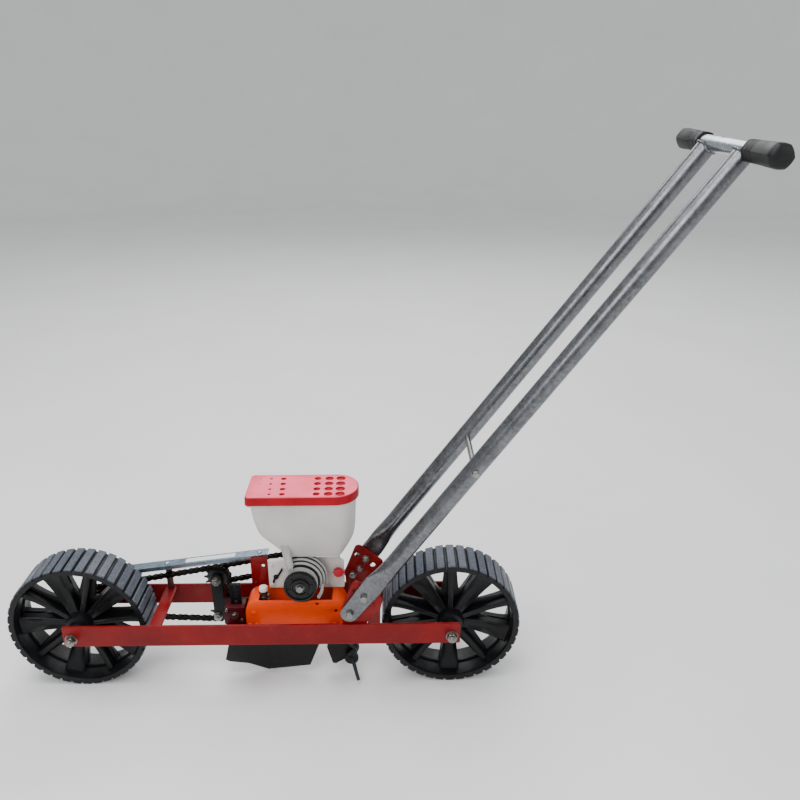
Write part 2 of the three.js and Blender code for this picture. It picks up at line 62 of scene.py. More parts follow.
FRONT_AXLE = middle("front_axle_nut")
REAR_AXLE = middle("rear_axle_nut")
AXLE_Z = FRONT_AXLE.z
WHEEL_RADIUS = high("front_wheel").z - AXLE_Z
RAIL_LOW = low("rail_left")
RAIL_HIGH = high("rail_right")
SHAFT = middle("roller_knob")
PIVOT = middle("pivot_bolt_left")
CLAMP = middle("clamp_bolt_left")
BAR = middle("handlebar")
COUNTER = middle("countershaft")
IDLER = middle("idler_stud")
DRAG = Vector((high("coverer_arm").x - 8, 0, 31))
FRONT_X = FRONT_AXLE.x
LEAN = (BAR - PIVOT) * Vector((1, 0, 1))
LEAN.normalize()
LEAN_ANGLE = math.atan2(LEAN.z, LEAN.x)


def at(x):
    """X of a place given by its distance behind the front axle."""
    return FRONT_X + x


def places(points):
    """Points given by distances behind the front axle and above the ground."""
    return [(at(x), z) for x, z in points]


# ---- mesh helpers
class Shape:
    """Vertices and faces gathered before they become one mesh."""

    def __init__(self, verts=(), faces=()):
        self.verts = [Vector(v) for v in verts]
        self.faces = [list(f) for f in faces]

    def __add__(self, other):
        base = len(self.verts)
        faces = self.faces + [[base + i for i in f] for f in other.faces]
        return Shape(self.verts + other.verts, faces)

    def moved(self, matrix):
        return Shape([matrix @ v for v in self.verts], self.faces)


def total(shapes):
    result = Shape()
    for shape in shapes:
        base = len(result.verts)
        result.verts.extend(shape.verts)
        result.faces.extend([base + i for i in f] for f in shape.faces)
    return result


def loft(rings, looped=False, capped=True):
    """Skin through rings of equal point count."""
    count = len(rings[0])
    verts = [p for ring in rings for p in ring]
    faces = []
    steps = len(rings) if looped else len(rings) - 1
    for r in range(steps):
        a0, b0 = r * count, (r + 1) % len(rings) * count
        for i in range(count):
            j = (i + 1) % count
            faces.append([a0 + i, a0 + j, b0 + j, b0 + i])
    if capped and not looped:
        faces.append(list(range(count))[::-1])
        faces.append([(len(rings) - 1) * count + i for i in range(count)])
    return Shape(verts, faces)


def round_ring(x, z, y, reaches):
    """Ring about an axis along Y, with one radius for each point."""
    step = 2 * math.pi / len(reaches)
    return [(x + r * math.sin(i * step), y, z + r * math.cos(i * step)) for i, r in enumerate(reaches)]


def lathe(profile, x, z, segments=64, closed=False, base=0):
    """Profile points are (radius, y past the base); the axis runs along Y through x, z."""
    rings = [round_ring(x, z, base + y, [max(radius, AXIS)] * segments) for radius, y in profile]
    return loft(rings, looped=closed, capped=not closed)


def block(lo, hi, bevel=0.6):
    bm = bmesh.new()
    size = [b - a for a, b in zip(lo, hi)]
    centre = [(a + b) / 2 for a, b in zip(lo, hi)]
    place = Matrix.Translation(centre) @ Matrix.Diagonal((*size, 1))
    bmesh.ops.create_cube(bm, size=1, matrix=place)
    bevel = min(bevel, min(size) * 0.45)
    bmesh.ops.bevel(bm, geom=bm.edges[:], offset=bevel, segments=2, affect="EDGES", profile=0.5)
    shape = Shape([v.co.copy() for v in bm.verts], [[v.index for v in f.verts] for f in bm.faces])
    bm.free()
    return shape


def polar(x, z, radius, degrees):
    """Point in X and Z at a radius and an angle about a centre."""
    a = math.radians(degrees)
    return x + radius * math.cos(a), z + radius * math.sin(a)


def arc(x, z, radius, start, end, steps=10):
    return [polar(x, z, radius, start + (end - start) * i / steps) for i in range(steps + 1)]


def circle(x, z, radius, steps=24):
    return arc(x, z, radius, 0, 360 * (steps - 1) / steps, steps - 1)


def rounded(outline, radius, steps=5):
    """Outline with each corner turned into an arc-like fillet."""
    result = []
    count = len(outline)
    for i, corner in enumerate(outline):
        here = Vector(corner)
        before = Vector(outline[i - 1]) - here
        after = Vector(outline[(i + 1) % count]) - here
        reach = min(radius, before.length * 0.45, after.length * 0.45)
        a = here + before.normalized() * reach
        b = here + after.normalized() * reach
        for k in range(steps + 1):
            t = k / steps
            result.append(tuple(a * (1 - t) ** 2 + here * 2 * t * (1 - t) + b * t ** 2))
    return result


def slab(outline, y0, y1, holes=(), bevel=0.5):
    """Plate with bevelled edges, outlined in X and Z and thick along Y."""
    data = bpy.data.curves.new("outline", "CURVE")
    data.dimensions = "2D"
    data.fill_mode = "BOTH"
    for points in [outline, *holes]:
        spline = data.splines.new("POLY")
        spline.points.add(len(points) - 1)
        for point, (x, z) in zip(spline.points, points):
            point.co = (x * MM, z * MM, 0, 1)
        spline.use_cyclic_u = True
    thick = abs(y1 - y0)
    bevel = min(bevel, thick * 0.4)
    data.extrude = (thick / 2 - bevel) * MM
    data.bevel_depth = bevel * MM
    data.bevel_resolution = 1
    data.offset = -bevel * MM
    holder = bpy.data.objects.new("outline", data)
    bpy.context.scene.collection.objects.link(holder)
    bpy.context.view_layer.update()
    mesh = holder.evaluated_get(bpy.context.evaluated_depsgraph_get()).to_mesh()
    mid = (y0 + y1) / 2
    verts = [(v.co.x / MM, mid - v.co.z / MM, v.co.y / MM) for v in mesh.vertices]
    shape = Shape(verts, [list(p.vertices) for p in mesh.polygons])
    bpy.data.objects.remove(holder)
    bpy.data.curves.remove(data)
    return shape


def pipe(points, radius, sides=16, looped=False):
    """Round bar swept along points; radius may be a number or one per point."""
    points = [Vector(p) for p in points]
    radii = radius if isinstance(radius, (list, tuple)) else [radius] * len(points)
    rings = []
    normal = None
    count = len(points)
    for i, p in enumerate(points):
        ahead = points[(i + 1) % count] if looped or i + 1 < count else points[i]
        behind = points[i - 1] if looped or i > 0 else points[i]
        tangent = (ahead - behind).normalized()
        if normal is None:
            normal = tangent.orthogonal().normalized()
        normal = (normal - tangent * normal.dot(tangent)).normalized()
        side = tangent.cross(normal)
        ring = []
        for k in range(sides):
            a = 2 * math.pi * k / sides
            ring.append(p + (normal * math.cos(a) + side * math.sin(a)) * radii[i])
        rings.append(ring)
    return loft(rings, looped=looped)


def smooth(rows, steps):
    """Catmull-Rom rows between the given rows of numbers."""
    result = []
    for i in range(len(rows) - 1):
        four = rows[max(i - 1, 0)], rows[i], rows[i + 1], rows[min(i + 2, len(rows) - 1)]
        for k in range(steps):
            t = k / steps
            result.append([0.5 * (2 * b + (c - a) * t + (2 * a - 5 * b + 4 * c - d) * t ** 2
                                  + (3 * b - a - 3 * c + d) * t ** 3) for a, b, c, d in zip(*four)])
    return result + [list(rows[-1])]


def hexagon(x, z, flats, y0, y1, turn=0):
    """Hexagon head with a chamfered outer end at y1."""
    corner = flats / math.sqrt(3)
    step = y1 - y0

    def ring(scale, y):
        return [(px, y, pz) for px, pz in arc(x, z, corner * scale, turn, turn + 300, 5)]

    return loft([ring(1, y0), ring(1, y0 + step * 0.8), ring(0.9, y1)])


def bolt(x, z, flats, seat, sign, turn=0, nut=False):
    """Head, washer and, for a nut, the threaded end, standing off a face at y = seat."""
    r = flats / 2
    washer = [(r * 0.5, seat), (r * 1.25, seat), (r * 1.25, seat + sign), (r * 0.5, seat + sign)]
    shape = lathe(washer, x, z, 28)
    top = seat + sign * (1 + flats * 0.5)
    shape += hexagon(x, z, flats, seat + sign * 0.9, top, turn)
    if nut:
        end = top + sign * flats * 0.2
        profile = [(r * 0.5, seat)]
        turns = 6
        for i in range(turns):
            y = top + (end - top) * i / turns
            profile += [(r * 0.52, y), (r * 0.45, y + (end - top) * 0.5 / turns)]
        profile += [(r * 0.42, end), (0, end)]
        shape += lathe(profile, x, z, 24)
    return shape


def weld(start, end, radius=1.6):
    """Rippled weld bead between two points."""
    start, end = Vector(start), Vector(end)
    count = max(6, int((end - start).length / 1.2))
    points = [start.lerp(end, i / count) for i in range(count + 1)]
    radii = [radius * (0.82 + 0.18 * math.cos(i * 2.4)) for i in range(count + 1)]
    return pipe(points, radii, 8)


def screw(x, z, radius, seat, sign):
    """Domed socket screw head standing off a face at y = seat."""
    profile = [(1, -0.1), (1, 0.2), (0.84, 0.52), (0.4, 0.66), (0.34, 0.3), (0, 0.3)]
    return lathe([(r * radius, seat + sign * y * radius) for r, y in profile], x, z, 24)


def mesh_of(name, shape):
    """Mesh of a shape, in metres, with merged points and faces pointing out."""
    mesh = bpy.data.meshes.new(name)
    mesh.from_pydata([tuple(v * MM) for v in shape.verts], [], shape.faces)
    bm = bmesh.new()
    bm.from_mesh(mesh)
    bmesh.ops.remove_doubles(bm, verts=bm.verts, dist=2e-6)
    bmesh.ops.dissolve_degenerate(bm, edges=bm.edges, dist=1e-7)
    bmesh.ops.recalc_face_normals(bm, faces=bm.faces)
    bm.to_mesh(mesh)
    bm.free()
    return mesh


def carve(shape, cutter):
    """The shape with the cutter taken out of it."""
    holders = []
    for part in (shape, cutter):
        holder = bpy.data.objects.new("part", mesh_of("part", part))
        bpy.context.scene.collection.objects.link(holder)
        holders.append(holder)
    cut = holders[0].modifiers.new("cut", "BOOLEAN")
    cut.object = holders[1]
    cut.solver = "EXACT"
    bpy.context.view_layer.update()
    mesh = holders[0].evaluated_get(bpy.context.evaluated_depsgraph_get()).to_mesh()
    result = Shape([v.co / MM for v in mesh.vertices], [list(p.vertices) for p in mesh.polygons])
    for holder in holders:
        bpy.data.objects.remove(holder)
    return result


def make(name, shape, look, body, nodes=(), sharp=32):
    """One visible piece on a body, standing for the named CAD nodes."""
    mesh = mesh_of(name, shape)
    mesh.shade_smooth()
    mesh.set_sharp_from_angle(angle=math.radians(sharp))
    obj = bpy.data.objects.new(name, mesh)
    bpy.context.scene.collection.objects.link(obj)
    mesh.materials.append(look)
    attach(obj, body)
    if nodes:
        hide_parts(*nodes)
    return obj


# ---- materials
def rgb(value):
    """Linear colour from a six-digit sRGB value."""
    parts = [(value >> shift & 255) / 255 for shift in (16, 8, 0)]
    return [c / 12.92 if c < 0.04045 else ((c + 0.055) / 1.055) ** 2.4 for c in parts]


class Look:
    """A procedural material: two colours mixed by noise, varied roughness and fine relief."""

    def __init__(self, name, metallic=0.0, rough=0.5):
        self.material = bpy.data.materials.new(name)
        self.material.use_nodes = True
        self.nodes = self.material.node_tree.nodes
        self.links = self.material.node_tree.links
        self.shader = self.nodes["Principled BSDF"]
        self.shader.inputs["Metallic"].default_value = metallic
        self.shader.inputs["Roughness"].default_value = rough
        self.place = self.node("TexCoord")

    def node(self, kind, **values):
        """New node with its inputs set."""
        node = self.nodes.new("ShaderNode" + kind)
        for key, value in values.items():
            node.inputs[key.replace("_", " ")].default_value = value
        return node

    def feed(self, node, stretch=None):
        """Give a node its place on the piece."""
        source = self.place.outputs["Object"]
        if stretch:
            mapping = self.node("Mapping", Scale=stretch)
            self.links.new(source, mapping.inputs["Vector"])
            source = mapping.outputs["Vector"]
        self.links.new(source, node.inputs["Vector"])
        return node

    def noise(self, scale, detail=4, rough=0.55, stretch=None):
        texture = self.node("TexNoise", Scale=scale, Detail=detail, Roughness=rough)
        return self.feed(texture, stretch).outputs["Fac"]

    def cells(self, scale):
        return self.feed(self.node("TexVoronoi", Scale=scale)).outputs["Color"]

    def ramp(self, source, stops):
        ramp = self.node("ValToRGB")
        while len(ramp.color_ramp.elements) < len(stops):
            ramp.color_ramp.elements.new(0.5)
        for element, (place, colour) in zip(ramp.color_ramp.elements, stops):
            element.position = place
            element.color = (*colour, 1)
        self.links.new(source, ramp.inputs["Fac"])
        return ramp.outputs["Color"]

    def mix(self, factor, a, b):
        node = self.node("Mix")
        node.data_type = "RGBA"
        self.links.new(factor, node.inputs["Factor"])
        for value, socket in ((a, node.inputs["A"]), (b, node.inputs["B"])):
            if isinstance(value, (list, tuple)):
                socket.default_value = (*value, 1)
            else:
                self.links.new(value, socket)
        return node.outputs["Result"]

    def spread(self, source, lo, hi, start=0.3, end=0.7):
        node = self.node("MapRange", From_Min=start, From_Max=end, To_Min=lo, To_Max=hi)
        self.links.new(source, node.inputs["Value"])
        return node.outputs["Result"]

    def colour(self, source):
        self.links.new(source, self.shader.inputs["Base Color"])
        return self

    def rough(self, source):
        self.links.new(source, self.shader.inputs["Roughness"])
        return self

    def relief(self, source, strength=0.2, distance=0.0004):
        bump = self.node("Bump", Strength=strength, Distance=distance)
        self.links.new(source, bump.inputs["Height"])
        self.links.new(bump.outputs["Normal"], self.shader.inputs["Normal"])
        return self

    def set(self, **values):
        for key, value in values.items():
            self.shader.inputs[key.replace("_", " ")].default_value = value
        return self


def paint(name, main, shade, dust=0x8a7a6a, dust_amount=0.06, shine=0.2):
    look = Look(name)
    tint = look.ramp(look.noise(14, 5), [(0.3, rgb(shade)), (0.62, rgb(main))])
    grime = look.spread(look.noise(55, 8, 0.7), 0, dust_amount, 0.5, 0.8)
    look.colour(look.mix(grime, tint, rgb(dust)))
    look.rough(look.spread(look.noise(38, 6), 0.26, 0.44))
    look.relief(look.noise(420, 3), 0.12, 0.0002)
    look.set(Specular_IOR_Level=shine)
    return look.material


def plastic(name, main, shade, rough=(0.42, 0.62), dust=0x77726a, dust_amount=0.1, grain=900):
    look = Look(name)
    tint = look.ramp(look.noise(22, 5), [(0.32, rgb(shade)), (0.68, rgb(main))])
    grime = look.spread(look.noise(70, 9, 0.72), 0, dust_amount, 0.5, 0.78)
    look.colour(look.mix(grime, tint, rgb(dust)))
    look.rough(look.spread(look.noise(30, 6), *rough))
    look.relief(look.noise(grain, 3), 0.25, 0.0002)
    look.set(Specular_IOR_Level=0.3)
    return look.material


def tyre_plastic_painted_sheen(name, axle):
    """Black moulding with a painted blue-grey sky reflection on its lug tips."""
    look = Look(name)
    from_axle = look.feed(look.node("Mapping", Location=(-axle.x * MM, 0, -axle.z * MM), Scale=(1, 0, 1)))
    length = look.node("VectorMath")
    length.operation = "LENGTH"
    look.links.new(from_axle.outputs["Vector"], length.inputs[0])
    # painted reflection: the outermost band of the lugs, by distance from the axle, takes a blue-grey sky
    # sheen
    sheen_band = (WHEEL_RADIUS - 2.2) * MM, (WHEEL_RADIUS - 0.9) * MM
    tip = look.spread(length.outputs["Value"], 0, 1, *sheen_band)
    dark = look.ramp(look.noise(22, 5), [(0.32, rgb(0x08080A)), (0.68, rgb(0x101114))])
    # painted reflection colour: speckled blue grey
    painted_sky_sheen = look.ramp(look.noise(420, 6, 0.7), [(0.36, rgb(0x30333A)), (0.64, rgb(0x5C626E))])
    look.colour(look.mix(tip, dark, painted_sky_sheen))
    look.rough(look.spread(look.noise(30, 6), 0.34, 0.52))
    look.relief(look.noise(900, 3), 0.25, 0.0002)
    look.set(Specular_IOR_Level=0.25)
    return look.material


def metal(name, main, shade, rough=(0.28, 0.45), spangle=0, streak=None):
    look = Look(name, metallic=1.0)
    tint = look.ramp(look.noise(26, 6), [(0.3, rgb(shade)), (0.7, rgb(main))])
    if spangle:
        grey = look.ramp(look.cells(spangle), [(0.2, rgb(shade)), (0.8, rgb(main))])
        tint = look.mix(look.spread(look.noise(9, 3), 0.25, 0.6), tint, grey)
    look.colour(tint)
    look.rough(look.spread(look.noise(60, 7, 0.6, streak), *rough))
    look.relief(look.noise(340, 5, 0.6, streak), 0.12, 0.0002)
    return look.material


RED = paint("red_paint", 0x7C070B, 0x66070B)
ORANGE = paint("orange_paint", 0xE8460A, 0xD43604, dust_amount=0.03)
MAROON = paint("maroon_paint", 0x4A0A12, 0x340810)
BLACK_PAINT = paint("black_paint", 0x0D0E10, 0x08090A, 0x3A3028, 0.14)
KNOB = plastic("knob_plastic", 0x0E0E10, 0x080809, (0.34, 0.5), 0x3A3630, 0.08)
GRIP = plastic("grip_rubber", 0x121214, 0x0A0A0C, (0.42, 0.6), 0x3A3632, 0.08, 1400)
LATCH = plastic("latch_plastic", 0xC81E34, 0xA81224, (0.25, 0.4), 0xE09090, 0.08)
ZINC = metal("zinc_plate", 0x9C9D9C, 0x6E6C66, (0.24, 0.42))
GALVANISED = metal("galvanised_tube", 0x7E8084, 0x595B5D, (0.2, 0.36), spangle=260)
BRIGHT = metal("bright_tube", 0xC2C8CE, 0x969CA2, (0.18, 0.3), spangle=220)
COVER = metal("cover_sheet", 0xA8B8C4, 0x8296A4, (0.22, 0.38), spangle=180)
STEEL = metal("sprocket_steel", 0x4E5052, 0x2C2E30, (0.3, 0.5))
CHAIN = metal("chain_steel", 0x2C2926, 0x161412, (0.28, 0.5))
DULL = metal("drag_steel", 0x3A3E40, 0x222426, (0.4, 0.6))
LABEL = plastic("label_film", 0xDDE4E2, 0xCFD8DA, (0.3, 0.4), 0x9FB0B8, 0.2, 600)


def milky(name, main, shade, through, rough):
    look = Look(name)
    look.colour(look.ramp(look.noise(16, 4), [(0.3, rgb(shade)), (0.7, rgb(main))]))
    look.rough(look.spread(look.noise(40, 5), *rough))
    look.relief(look.noise(260, 4, 0.5, (1, 1, 6)), 0.1, 0.0002)
    look.set(Transmission_Weight=through, IOR=1.45, Specular_IOR_Level=0.5)
    return look.material


def lid_plastic_painted_light():
    """Glossy red moulding with painted light: a lit pink on its top face, and painted shade in deep red on
    its rim and in its pits.
    """
    look = Look("lid_plastic_painted_light")
    split = look.feed(look.node("SeparateXYZ"))
    top = high("hopper_lid").z
    # painted shade: deep red for the rim and the pits; painted highlight: lit pink for the top face
    rim = look.ramp(look.noise(22, 5), [(0.32, rgb(0x8A0414)), (0.68, rgb(0xA2081C))])
    face = look.ramp(look.noise(26, 6), [(0.3, rgb(0xF04A64)), (0.7, rgb(0xFA6A84))])
    # painted light by height: everything more than 1 mm below the top face takes the painted shade
    height = look.spread(split.outputs["Z"], 0, 1, (top - 1.0) * MM, (top - 0.1) * MM)
    look.colour(look.mix(height, rim, face))
    look.rough(look.spread(look.noise(34, 6), 0.24, 0.38))
    look.relief(look.noise(700, 3), 0.15, 0.0002)
    look.set(Specular_IOR_Level=0.16)
    return look.material


LID_PAINTED_LIGHT = lid_plastic_painted_light()
MILKY = milky("milky_plastic", 0xD2CFCB, 0xC2BFBB, 0.12, (0.3, 0.45))
WHITE = milky("white_plastic", 0xDEDBD5, 0xCCC8C2, 0.0, (0.35, 0.5))
CLEAR = milky("clear_plastic", 0xD6D5D2, 0xC2C1BE, 0.45, (0.12, 0.26))


# ---- wheels
LUGS = 40
SPOKES = 10


RIM_OUTER = WHEEL_RADIUS - 4
RIM_INNER = RIM_OUTER - 6


def rim_shape(x, z):
    """Rim with its lugs and its turned-in lips."""
    tip = WHEEL_RADIUS
    base = RIM_OUTER
    inner = RIM_INNER
    half = 30
    share = 360 / LUGS
    flanks = [(-0.42, base), (-0.35, tip - 0.7), (-0.3, tip)]
    flanks += [(-part, radius) for part, radius in flanks[::-1]]

    def ring(y, reach):
        """Ring through every flank of every lug; reach turns the flank's radius into the ring's."""
        points = []
        for i in range(LUGS):
            for part, radius in flanks:
                px, pz = polar(x, z, reach(radius), -90 + share * (i + part))
                points.append((px, y, pz))
        return points

    def tread(y, drop):
        return ring(y, lambda radius: radius - drop * (1 if radius > base else 0.4))

    chamfer = 1.6
    edge = half - 1.4
    rings = [tread(-half, chamfer), tread(-edge, 0), tread(edge, 0), tread(half, chamfer)]
    lip = [(half, inner + 0.6), (half - 1, inner), (half - 5, inner - 0.4)]
    seat = [(4, inner - 1.4), (-4, inner - 1.4)]
    for y, radius in lip + seat + [(-y, r) for y, r in lip[::-1]]:
        rings.append(ring(y, lambda _: radius))
    return loft(rings, looped=True)


def web_shape(x, z, phase):
    """Thin web with a window between every two spokes."""
    windows = []
    for i in range(SPOKES):
        turn = phase + 360 * (i + 0.5) / SPOKES
        outer = arc(x, z, RIM_INNER - 4, turn - 12.5, turn + 12.5, 6)
        near_hub = arc(x, z, 46, turn + 2.2, turn - 2.2, 2)
        windows.append(rounded(outer + near_hub, 2.2, 3))
    web = circle(x, z, RIM_INNER - 1, 96)
    return slab(web, -3, 3, windows + [circle(x, z, 8, 32)], 0.8)


def spoke_shapes(x, z, phase):
    """Narrow ribs and wide dished spokes by turns, on both faces."""
    shape = Shape()
    for i in range(SPOKES):
        a = math.radians(phase + 360 * i / SPOKES)
        out = Vector((math.cos(a), 0, math.sin(a)))
        across = Vector((-math.sin(a), 0, math.cos(a)))
        centre = Vector((x, 0, z))
        for side in (-1, 1):
            rings = []
            for t in range(9):
                s = t / 8
                r = 14 + (RIM_INNER - 1.5 - 14) * s
                point = centre + out * r
                if i % 2 == 0:
                    tall = 19 - 9 * s + 7 * s ** 4
                    wide = 4.2 + 1.2 * s
                    section = [(-wide, 2), (-wide * 0.82, tall - 0.8), (-wide * 0.6, tall)]
                    section += [(-u, v) for u, v in section[::-1]]
                else:
                    tall = 17 - 8 * s + 6 * s ** 4
                    wide = 7 + 8.5 * s
                    dish = 6.5 * math.sin(math.pi * min(1, s * 1.05)) ** 0.6
                    section = [(-wide, 2), (-wide * 0.95, tall - 1), (-wide * 0.84, tall)]
                    section += [(-wide * 0.5, tall - dish * 0.8), (0, tall - dish)]
                    section += [(-u, v) for u, v in section[:4][::-1]]
                rings.append([point + across * u + Vector((0, side * v, 0)) for u, v in section])
            shape += loft(rings)
    return shape


def add_wheel(name, axle, phase):
    x, z = axle.x, axle.z
    shape = rim_shape(x, z) + web_shape(x, z, phase) + spoke_shapes(x, z, phase)
    hub = [(6.05, -46), (11, -46), (12.5, -44.5), (13, -40), (13, -30), (18, -28), (20, -22), (20, 22),
           (19, 32), (6.05, 32)]
    shape += lathe(hub, x, z, 56, closed=True)
    if name == "rear_wheel":
        far = [(6.05, 30), (6.05, 46), (11, 46), (13, 44), (13, 30)]
        shape += lathe(far, x, z, 56, closed=True)
    make(name + "_moulding", shape, tyre_plastic_painted_sheen(name + "_plastic", axle), name, [name], 38)


add_wheel("front_wheel", FRONT_AXLE, 75.6)
add_wheel("rear_wheel", REAR_AXLE, 90)


# ---- axle bolts
def add_axle(place, axle):
    """Axle bolt with a stepped, threaded end, its washer and its nut."""
    right = RAIL_HIGH.y
    left = RAIL_LOW.y
    profile = [(0, -12.4), (3.4, -12.4)]
    for i in range(9):
        profile += [(4, -12 + i * 0.7), (3.5, -11.65 + i * 0.7)]
    profile = [(r, left + y) for r, y in profile + [(4, -0.4), (6, 0)]]
    shank = lathe(profile + [(6, right + 2), (0, right + 2)], axle.x, axle.z, 32)
    make(place + "_axle_bolt", shank + bolt(axle.x, axle.z, 14, right, 1, 12), ZINC, "frame",
         [place + "_axle"])
    washer = [(4.2, 0), (9, 0), (9, -1.4), (4.2, -1.4)]
    nut = lathe(washer, axle.x, axle.z, 40, closed=True, base=left)

    def ring(reach, y, six=False):
        points = []
        for i in range(36):
            r = reach / math.cos(math.radians(10 * (i % 6) - 30)) if six else reach
            px, pz = polar(axle.x, axle.z, r, 7 + 10 * i)
            points.append((px, left + y, pz))
        return points

    rings = [ring(6.7, -1.4, True), ring(6.7, -7.4, True), ring(6.6, -8.2), ring(4.2, -8.2), ring(4.2, -1.4)]
    make(place + "_nut", nut + loft(rings, looped=True), ZINC, "frame", [place + "_axle_nut"])


add_axle("front", FRONT_AXLE)
add_axle("rear", REAR_AXLE)


# ---- frame
def rectangle(x0, z0, x1, z1):
    return [(x0, z0), (x1, z0), (x1, z1), (x0, z1)]


for side in ("left", "right"):
    lo, hi = low("rail_" + side), high("rail_" + side)
    outline = rounded(rectangle(lo.x, lo.z, hi.x, hi.z), 3, 4)
    bar = slab(outline, lo.y, hi.y, bevel=0.7)
    make("rail_bar_" + side, bar, RED, "frame", ["rail_" + side])


def add_strap(node, holes=()):
    lo, hi = low(node), high(node)
    shape = block(lo, hi, 0.7)
    if node == "middle_cross":
        gap = Vector((0.4, 0.4, 0))
        shape = carve(shape, block(low("opener_stem") - gap, high("opener_stem") + gap, 0.1))
    for y in (lo.y, hi.y):
        inset = 1.2 if y < 0 else -1.2
        shape += weld((lo.x + 1, y + inset * 0.4, hi.z), (hi.x - 1, y + inset * 0.4, hi.z))
        shape += weld((lo.x + 1, y + inset * 0.4, lo.z), (hi.x - 1, y + inset * 0.4, lo.z))
    make(node + "_strap", shape, RED, "frame", [node])


for node in ("front_cross", "middle_cross", "base_cross", "rear_cross"):
    add_strap(node)


# ---- seed tray and roller housing
def add_tray():
    lo, hi = low("roller_base"), high("roller_base")
    sheet = 2
    corner = 20
    saddle = 34

    def hood(inset, front):
        """Path up one end of the tray and round its upper corner."""
        edge = lo.x + inset if front else hi.x - inset
        centre = lo.x + corner if front else hi.x - corner
        start = 180 if front else 0
        return [(edge, lo.z)] + arc(centre, hi.z - corner, corner - inset, start, 90, 10)

    between = lo.y + sheet / 2, hi.y - sheet / 2
    shape = slab(rectangle(lo.x, lo.z, hi.x, lo.z + sheet), *between, bevel=0.2)
    for front in (True, False):
        shape += slab(hood(0, front) + hood(sheet, front)[::-1], *between, bevel=0.2)
    shape += slab(hood(0, True) + hood(0, False)[::-1], hi.y - sheet, hi.y, bevel=0.7)
    dip = math.degrees(math.asin((SHAFT.z - hi.z) / saddle))
    rest = arc(SHAFT.x, SHAFT.z, saddle, 180 + dip, 360 - dip, 14)
    holes = [circle(at(380.5), 122, 2.8), circle(at(353), 134.7, 2.4)]
    near = hood(0, True) + rest + hood(0, False)[::-1]
    shape += slab(near, lo.y, lo.y + sheet, holes, 0.7)
    boss = [(3.6, 0), (3.4, -0.7), (2.2, -1.2), (0, -1.4)]
    shape += lathe(boss, at(258.5), 119.9, 28, base=lo.y)
    for x in (252, 262, 378, 389):
        shape += screw(at(x), 99.5, 3, lo.y, -1)
    bead = lo.z + 1
    for y, side in ((lo.y, -1), (hi.y, 1)):
        shape += weld((at(268), y + side * 0.5, bead), (at(290), y + side * 0.5, bead))
        shape += weld((at(345), y + side * 0.5, bead), (at(370), y + side * 0.5, bead))
    make("roller_tray", shape, ORANGE, "frame", ["roller_base"])


def box_tube(x0, x1, y0, y1, z0, z1, wall):
    """Upright tube of rounded rectangular section, open at both ends."""
    def ring(inset, z):
        points = rounded([(x0 + inset, y0 + inset), (x1 - inset, y0 + inset), (x1 - inset, y1 - inset),
                          (x0 + inset, y1 - inset)], 3, 4)
        return [(x, y, z) for x, y in points]

    return loft([ring(0, z0), ring(0, z1), ring(wall, z1), ring(wall, z0)], looped=True)


def sector(inner, outer, start, end, y0, y1, bevel=0.5):
    """Curved wall about the roller shaft, in millimetres and degrees."""
    steps = 28
    outline = arc(SHAFT.x, SHAFT.z, outer, start, end, steps)
    outline += arc(SHAFT.x, SHAFT.z, inner, end, start, steps)
    return slab(outline, y0, y1, bevel=bevel)


def add_housing():
    lo, hi = low("roller_housing"), high("roller_housing")
    near, far = lo.y, hi.y
    deep = far - near
    drum = [(5.4, 0), (24, 0), (25.6, 0.8), (26.4, 2), (26.4, deep), (5.4, deep), (5.4, deep - 2),
            (24.4, deep - 2), (24.4, 3), (5.4, 3)]
    shape = lathe(drum, SHAFT.x, SHAFT.z, 96, closed=True, base=near)
    # painted shade: dark sectors behind the clear ribs darken the grooves between them
    groove_shade = Shape()
    for y, inner, rib in ((0.2, 28, 31), (5, 31.8, 34.8), (10, 35.4, 37.9)):
        groove_shade += sector(24.6, inner, -22, 118, near + y, near + y + 5, 0.2)
        shape += sector(24.5, rib, -24, 120, near + y + 2.2, near + y + 5, 0.7)
    shape += box_tube(SHAFT.x - 24, SHAFT.x + 24, near + 22, far, 199, hi.z, 3)
    shape += box_tube(SHAFT.x - 9, SHAFT.x + 9, -6, 6, lo.z, 150, 2)
    arm = places([(305, 236), (316, 236), (322, 199), (311, 191)])
    shape += slab(rounded(arm, 2, 3), near - 3.4, near + 0.6, bevel=0.6)
    for shift in (1.4, 9.2):
        rib = [(at(305.5 + shift), near - 4, 235), (at(311 + shift), near - 4, 194)]
        shape += pipe(rib, 1.1, 10)
    spout = [(at(362), near + 1.2, 166), (at(360), near + 1, 154), (at(355), near + 1, 144)]
    shape += pipe([Vector(p) for p in smooth(spout, 4)], 2.6, 12)
    make("clear_housing", shape, CLEAR, "frame", ["roller_housing"])
    # dark piece that paints the shade in the housing grooves
    make("housing_groove_shade", groove_shade, KNOB, "frame")


def add_seed_roller():
    lo, hi = low("seed_roller"), high("seed_roller")
    radius = min(hi.z - SHAFT.z, 23)
    columns = 90
    rows = 17
    rings = []
    for row in range(rows):
        reaches = []
        for i in range(columns):
            in_cell = row % 4 in (1, 2, 3) and i % 5 in (1, 2, 3)
            deep = 2.2 if row % 4 == 2 and i % 5 == 2 else 1.2
            reaches.append(radius - (deep if in_cell else 0))
        rings.append(round_ring(SHAFT.x, SHAFT.z, lo.y + (hi.y - lo.y) * row / (rows - 1), reaches))
    make("cell_roller", loft(rings), MILKY, "seed_roller", ["seed_roller"])


